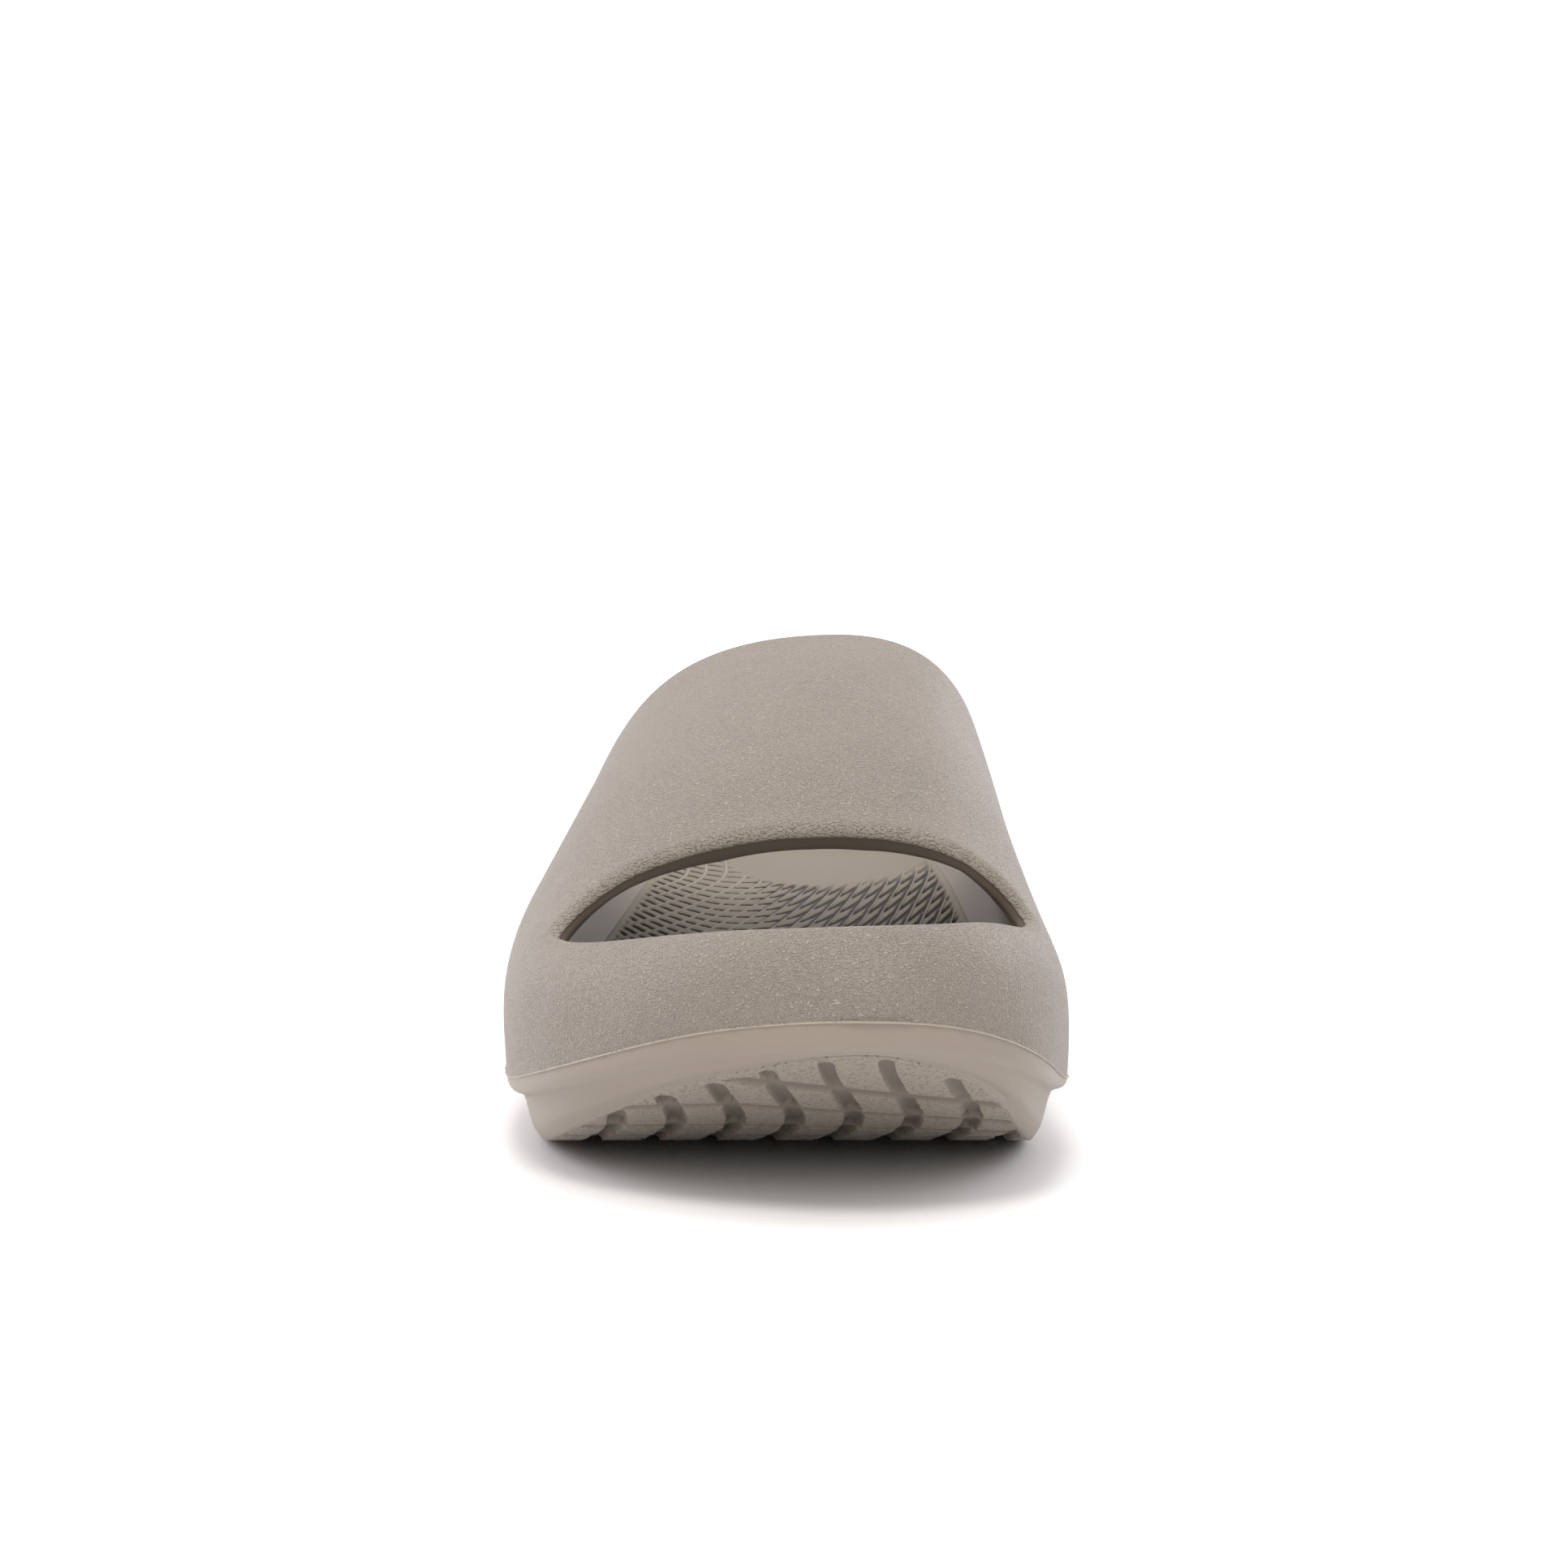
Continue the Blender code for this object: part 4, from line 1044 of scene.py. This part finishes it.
def grained_foam():
    """Moulded EVA foam from a mould etched like leather: matt, with short, soft wrinkles, painted
    light on their crests and painted shade in their hollows.
    """
    name = "moulded EVA foam, grained"
    material, add, place, base, marks = new_foam(name, SKIN_TONES, 38, ("grain", "flash", "shade"))
    turn = {"Vector": place, "Rotation": (0.0, 0.3, 0.0), "Scale": (0.6, 0.9, 1.25)}
    long_cells = {"Vector": add("Mapping", turn), "Scale": per_mm(WRINKLE_SIZE), "Detail": 0.0}
    cells = add("TexNoise", {**long_cells, "Distortion": 0.35})
    crested = {"Value": cells, "From Min": 0.49, "From Max": 0.7}
    crests = add("MapRange", crested, interpolation_type="SMOOTHSTEP")
    pores = add("TexNoise", {"Vector": place, "Scale": per_mm(PORE_SIZE), "Detail": 0.0})
    wrinkles = add("Math", {0: pores, 1: 0.5, 2: crests}, operation="MULTIPLY_ADD")

    # The grain is uneven in patches, and as strong as the piece's own mark says
    patches = add("TexNoise", {"Vector": place, "Scale": per_mm(PATCH_SIZE), "Detail": 1.0})
    unevenness = {"Value": patches, "From Min": 0.3, "From Max": 0.7, "To Min": 0.8, "To Max": 1.1}
    uneven = add("MapRange", unevenness)
    strength = add("Math", {0: marks["grain"], 1: uneven}, operation="MULTIPLY")
    height = add("Math", {0: wrinkles, 1: strength}, operation="MULTIPLY")

    # Painted light and shade: crests are painted paler than the hollows between them
    tones = {"Value": wrinkles, "From Min": 0.25, "From Max": 1.0, "To Min": 0.93, "To Max": 1.27}
    painted_relief_light_and_shade = add("Mix", {0: strength, 6: linear(WHITE), 7: add("MapRange", tones)}, **COLOURS)
    grained = add("Mix", {0: 1.0, 6: base, 7: painted_relief_light_and_shade}, blend_type="MULTIPLY", **COLOURS)
    # Painted shade: the smooth faces under the rims and the inner skin are mixed towards a darker
    # tone
    dim = add("Mix", {0: marks["shade"], 6: grained, 7: linear(SKIN_IN_SHADE)}, **COLOURS)
    # The paler colour on the seam flash and the parting line, and as painted light up the rolls
    colour = add("Mix", {0: marks["flash"], 6: dim, 7: linear(FLASH_AND_PAINTED_LIGHT_COLOUR)}, **COLOURS)
    return finish_foam(material, add, colour, height, GRAIN_DEPTH, 0.5)


def smooth_foam():
    """Moulded EVA foam, smooth: a low sheen, with fine stippling on the tread's lands, and painted
    shade in the pits and grooves.
    """
    name = "moulded EVA foam, smooth"
    material, add, place, base, marks = new_foam(name, SOLE_TONES, 45, ("tread", "cut"))
    cut = marks["cut"]
    dots = add("TexVoronoi", {"Vector": place, "Scale": per_mm(STIPPLE_SIZE)})
    pit = add("MapRange", {"Value": dots, "From Min": 0.12, "From Max": 0.42})
    on_land = {0: cut, 1: -6.0, 2: marks["tread"]}
    land = add("Math", on_land, operation="MULTIPLY_ADD", use_clamp=True)
    stipple = add("Math", {0: pit, 1: land}, operation="MULTIPLY")
    soft = add("TexNoise", {"Vector": place, "Scale": per_mm(STIPPLE_SIZE), "Detail": 2.0})
    height = add("Math", {0: soft, 1: 0.18, 2: stipple}, operation="MULTIPLY_ADD")

    # Painted shade: pits are painted darker than the land round them, and grooves darker still
    speck = add("MapRange", {"Value": pit, "To Min": 0.62, "To Max": 1.05})
    specked = add("Mix", {0: land, 6: linear(WHITE), 7: speck}, **COLOURS)
    ground = add("Mix", {0: 1.0, 6: base, 7: specked}, blend_type="MULTIPLY", **COLOURS)
    deep = add("MapRange", {"Value": cut, "From Min": 0.02, "From Max": 0.4, "To Max": 0.5})
    colour = add("Mix", {0: deep, 6: ground, 7: linear(GROOVE_PAINTED_SHADE)}, **COLOURS)
    return finish_foam(material, add, colour, height, STIPPLE_DEPTH, 0.52)


# The footbed's pattern in the material, worked out from the piece's own marks. Each step has its
# name, its operation, and the marks, steps and numbers that it takes.
PATTERN_STEPS = (
    # Crests on the ridges, raised and painted pale as painted light
    ("place", "FRACT", "ridge"),
    ("ridge_off", "PINGPONG", "ridge", 0.5),
    ("ridge_mm", "MULTIPLY", "ridge_off", "row"),
    ("crest", "MULTIPLY_ADD", "ridge_mm", -4.0, 1.9),
    # Slots on the rungs, sunk and painted dark as painted shade, that widen towards the next ridge
    # on the medial side
    ("rung_off", "PINGPONG", "rung", 0.5),
    ("rung_mm", "MULTIPLY", "rung_off", "pitch"),
    ("grow", "MULTIPLY_ADD", "place", 0.62, 0.26),
    ("grow_less", "SUBTRACT", "grow", 0.5),
    ("half_width", "MULTIPLY_ADD", "grow_less", "medial", 0.5),
    ("slot_in", "SUBTRACT", "half_width", "rung_mm"),
    ("slot_line", "MULTIPLY_ADD", "slot_in", 4.5, 0.5),
    # The slots start behind one ridge and end before the next
    ("from_ridge", "MULTIPLY_ADD", "place", 14.0, -1.3),
    ("last_place", "ADD", "medial", 14.0),
    ("to_ridge", "MULTIPLY_ADD", "place", -16.0, "last_place"),
    ("slot_start", "MULTIPLY", "slot_line", "from_ridge"),
    ("slot", "MULTIPLY", "slot_start", "to_ridge"),
    # A gutter before each ridge on the medial side, sunk and painted dark as painted shade
    ("gutter_at", "SUBTRACT", "place", 0.86),
    ("gutter_off", "ABSOLUTE", "gutter_at"),
    ("gutter_mm", "MULTIPLY", "gutter_off", "row"),
    ("gutter_line", "MULTIPLY_ADD", "gutter_mm", -4.0, 1.9),
    ("gutter", "MULTIPLY", "gutter_line", "medial"),
    # All of it fades out at the plain oval and the border
    ("dark", "MAXIMUM", "slot", "gutter"),
    ("drawn", "SUBTRACT", 1.0, "bare"),
    ("dark_drawn", "MULTIPLY", "dark", "drawn"),
    ("crest_drawn", "MULTIPLY", "crest", "drawn"),
    ("relief", "SUBTRACT", "crest_drawn", "dark_drawn"),
)
# Steps that are kept between 0 and 1
CLAMPED_STEPS = ("crest", "slot_line", "from_ridge", "to_ridge", "slot_start", "slot", "gutter")


def textured_foam():
    """Moulded EVA foam with a raised pattern for a bare foot: matt, painted light on the crests,
    painted shade in the slots.
    """
    name = "moulded EVA foam, patterned"
    marks = ("ridge", "rung", "row", "pitch", "medial", "bare")
    material, add, _, base, values = new_foam(name, BED_TONES, 30, marks)
    for step, operation, *taken in PATTERN_STEPS:
        inputs = {index: values.get(value, value) for index, value in enumerate(taken)}
        clamped = step in CLAMPED_STEPS
        values[step] = add("Math", inputs, operation=operation, use_clamp=clamped)
    # Painted light on the crests, and painted shade in the slots and gutters
    lit = add("Mix", {0: values["crest_drawn"], 6: base, 7: linear(RIDGE_PAINTED_LIGHT)}, **COLOURS)
    colour = add("Mix", {0: values["dark_drawn"], 6: lit, 7: linear(SLOT_PAINTED_SHADE)}, **COLOURS)
    return finish_foam(material, add, colour, values["relief"], PATTERN_DEPTH, 0.62)


# Camera and studio, fitted to the photograph: metres, degrees, and the photograph's pixels
VIEW_TARGET = Vector((0, 0, 0.05))
VIEW_ELEVATION = 8
VIEW_DISTANCE = 1.6
VIEW_PIXELS = 1932
PIXELS_PER_METRE = 5820
TARGET_PIXEL_DOWN = 1074
SENSOR_WIDTH = 36
VIEW_END = 200
FLOOR_REACH = 40


def make_camera():
    """The camera, in front of the toe and a little above it."""
    rise = math.radians(VIEW_ELEVATION)
    back = Vector((0, -math.cos(rise), math.sin(rise)))
    camera = add_object("camera", bpy.data.cameras.new("camera"))
    camera.location = VIEW_TARGET + back * VIEW_DISTANCE
    camera.rotation_euler = (-back).to_track_quat("-Z", "Y").to_euler()
    camera.data.sensor_width = SENSOR_WIDTH
    camera.data.lens = PIXELS_PER_METRE * VIEW_DISTANCE / VIEW_PIXELS * SENSOR_WIDTH
    camera.data.shift_y = (TARGET_PIXEL_DOWN - VIEW_PIXELS / 2) / VIEW_PIXELS
    camera.data.clip_end = VIEW_END
    bpy.context.scene.camera = camera


def make_floor():
    """A sheet of matt white paper, so wide that its edge isn't seen."""
    mesh = bmesh.new()
    bmesh.ops.create_grid(mesh, x_segments=1, y_segments=1, size=FLOOR_REACH)
    data = bpy.data.meshes.new("floor")
    mesh.to_mesh(data)
    mesh.free()
    material = bpy.data.materials.new("white studio paper")
    material.use_nodes = True
    tree = material.node_tree
    paper = {"Base Color": linear("#FAFAFA"), "Roughness": 0.9, "Specular IOR Level": 0.1}
    set_inputs(tree, tree.nodes["Principled BSDF"], paper)
    data.materials.append(material)
    add_object("floor", data)


# Round softboxes that face the shoe: metres and watts
Light = namedtuple("Light", "name place size power colour")
LIGHTS = (
    Light("softbox above", (0.05, -0.1, 1.5), 0.5, 2.5, "#FFFFFF"),
    Light("softbox in front", (-0.1, -0.9, 1.3), 0.45, 7.5, "#FFFCF6"),
    Light("softbox left", (-0.9, 0.55, 0.38), 0.6, 4.6, "#F9F2FC"),
    Light("softbox right", (0.8, 0.85, 0.4), 0.6, 4.0, "#F9F2FC"),
)
# The room's own brightness, from the horizon up to the ceiling
SKY_LOW = 0.3
SKY_HIGH = 1.5


def make_lights():
    """The softboxes, and a room that is brighter above."""
    for light in LIGHTS:
        data = bpy.data.lights.new(light.name, "AREA")
        data.shape = "DISK"
        data.size = light.size
        data.energy = light.power
        data.color = linear(light.colour)[:3]
        lamp = add_object(light.name, data)
        lamp.location = light.place
        lamp.rotation_euler = (VIEW_TARGET - lamp.location).to_track_quat("-Z", "Y").to_euler()
    world = bpy.data.worlds.new("studio")
    world.use_nodes = True
    tree = world.node_tree
    direction = add_node(tree, "TexCoord", {}, out="Generated")
    up = add_node(tree, "SeparateXYZ", {0: direction}, out="Z")
    glow = add_node(tree, "MapRange", {"Value": up, "To Min": SKY_LOW, "To Max": SKY_HIGH})
    set_inputs(tree, tree.nodes["Background"], {"Color": linear(WHITE), "Strength": glow})
    bpy.context.scene.world = world
    bpy.context.scene.view_settings.view_transform = "Standard"


make_camera()
make_upper(grained_foam())
make_sole(smooth_foam())
make_footbed(textured_foam())
make_floor()
make_lights()
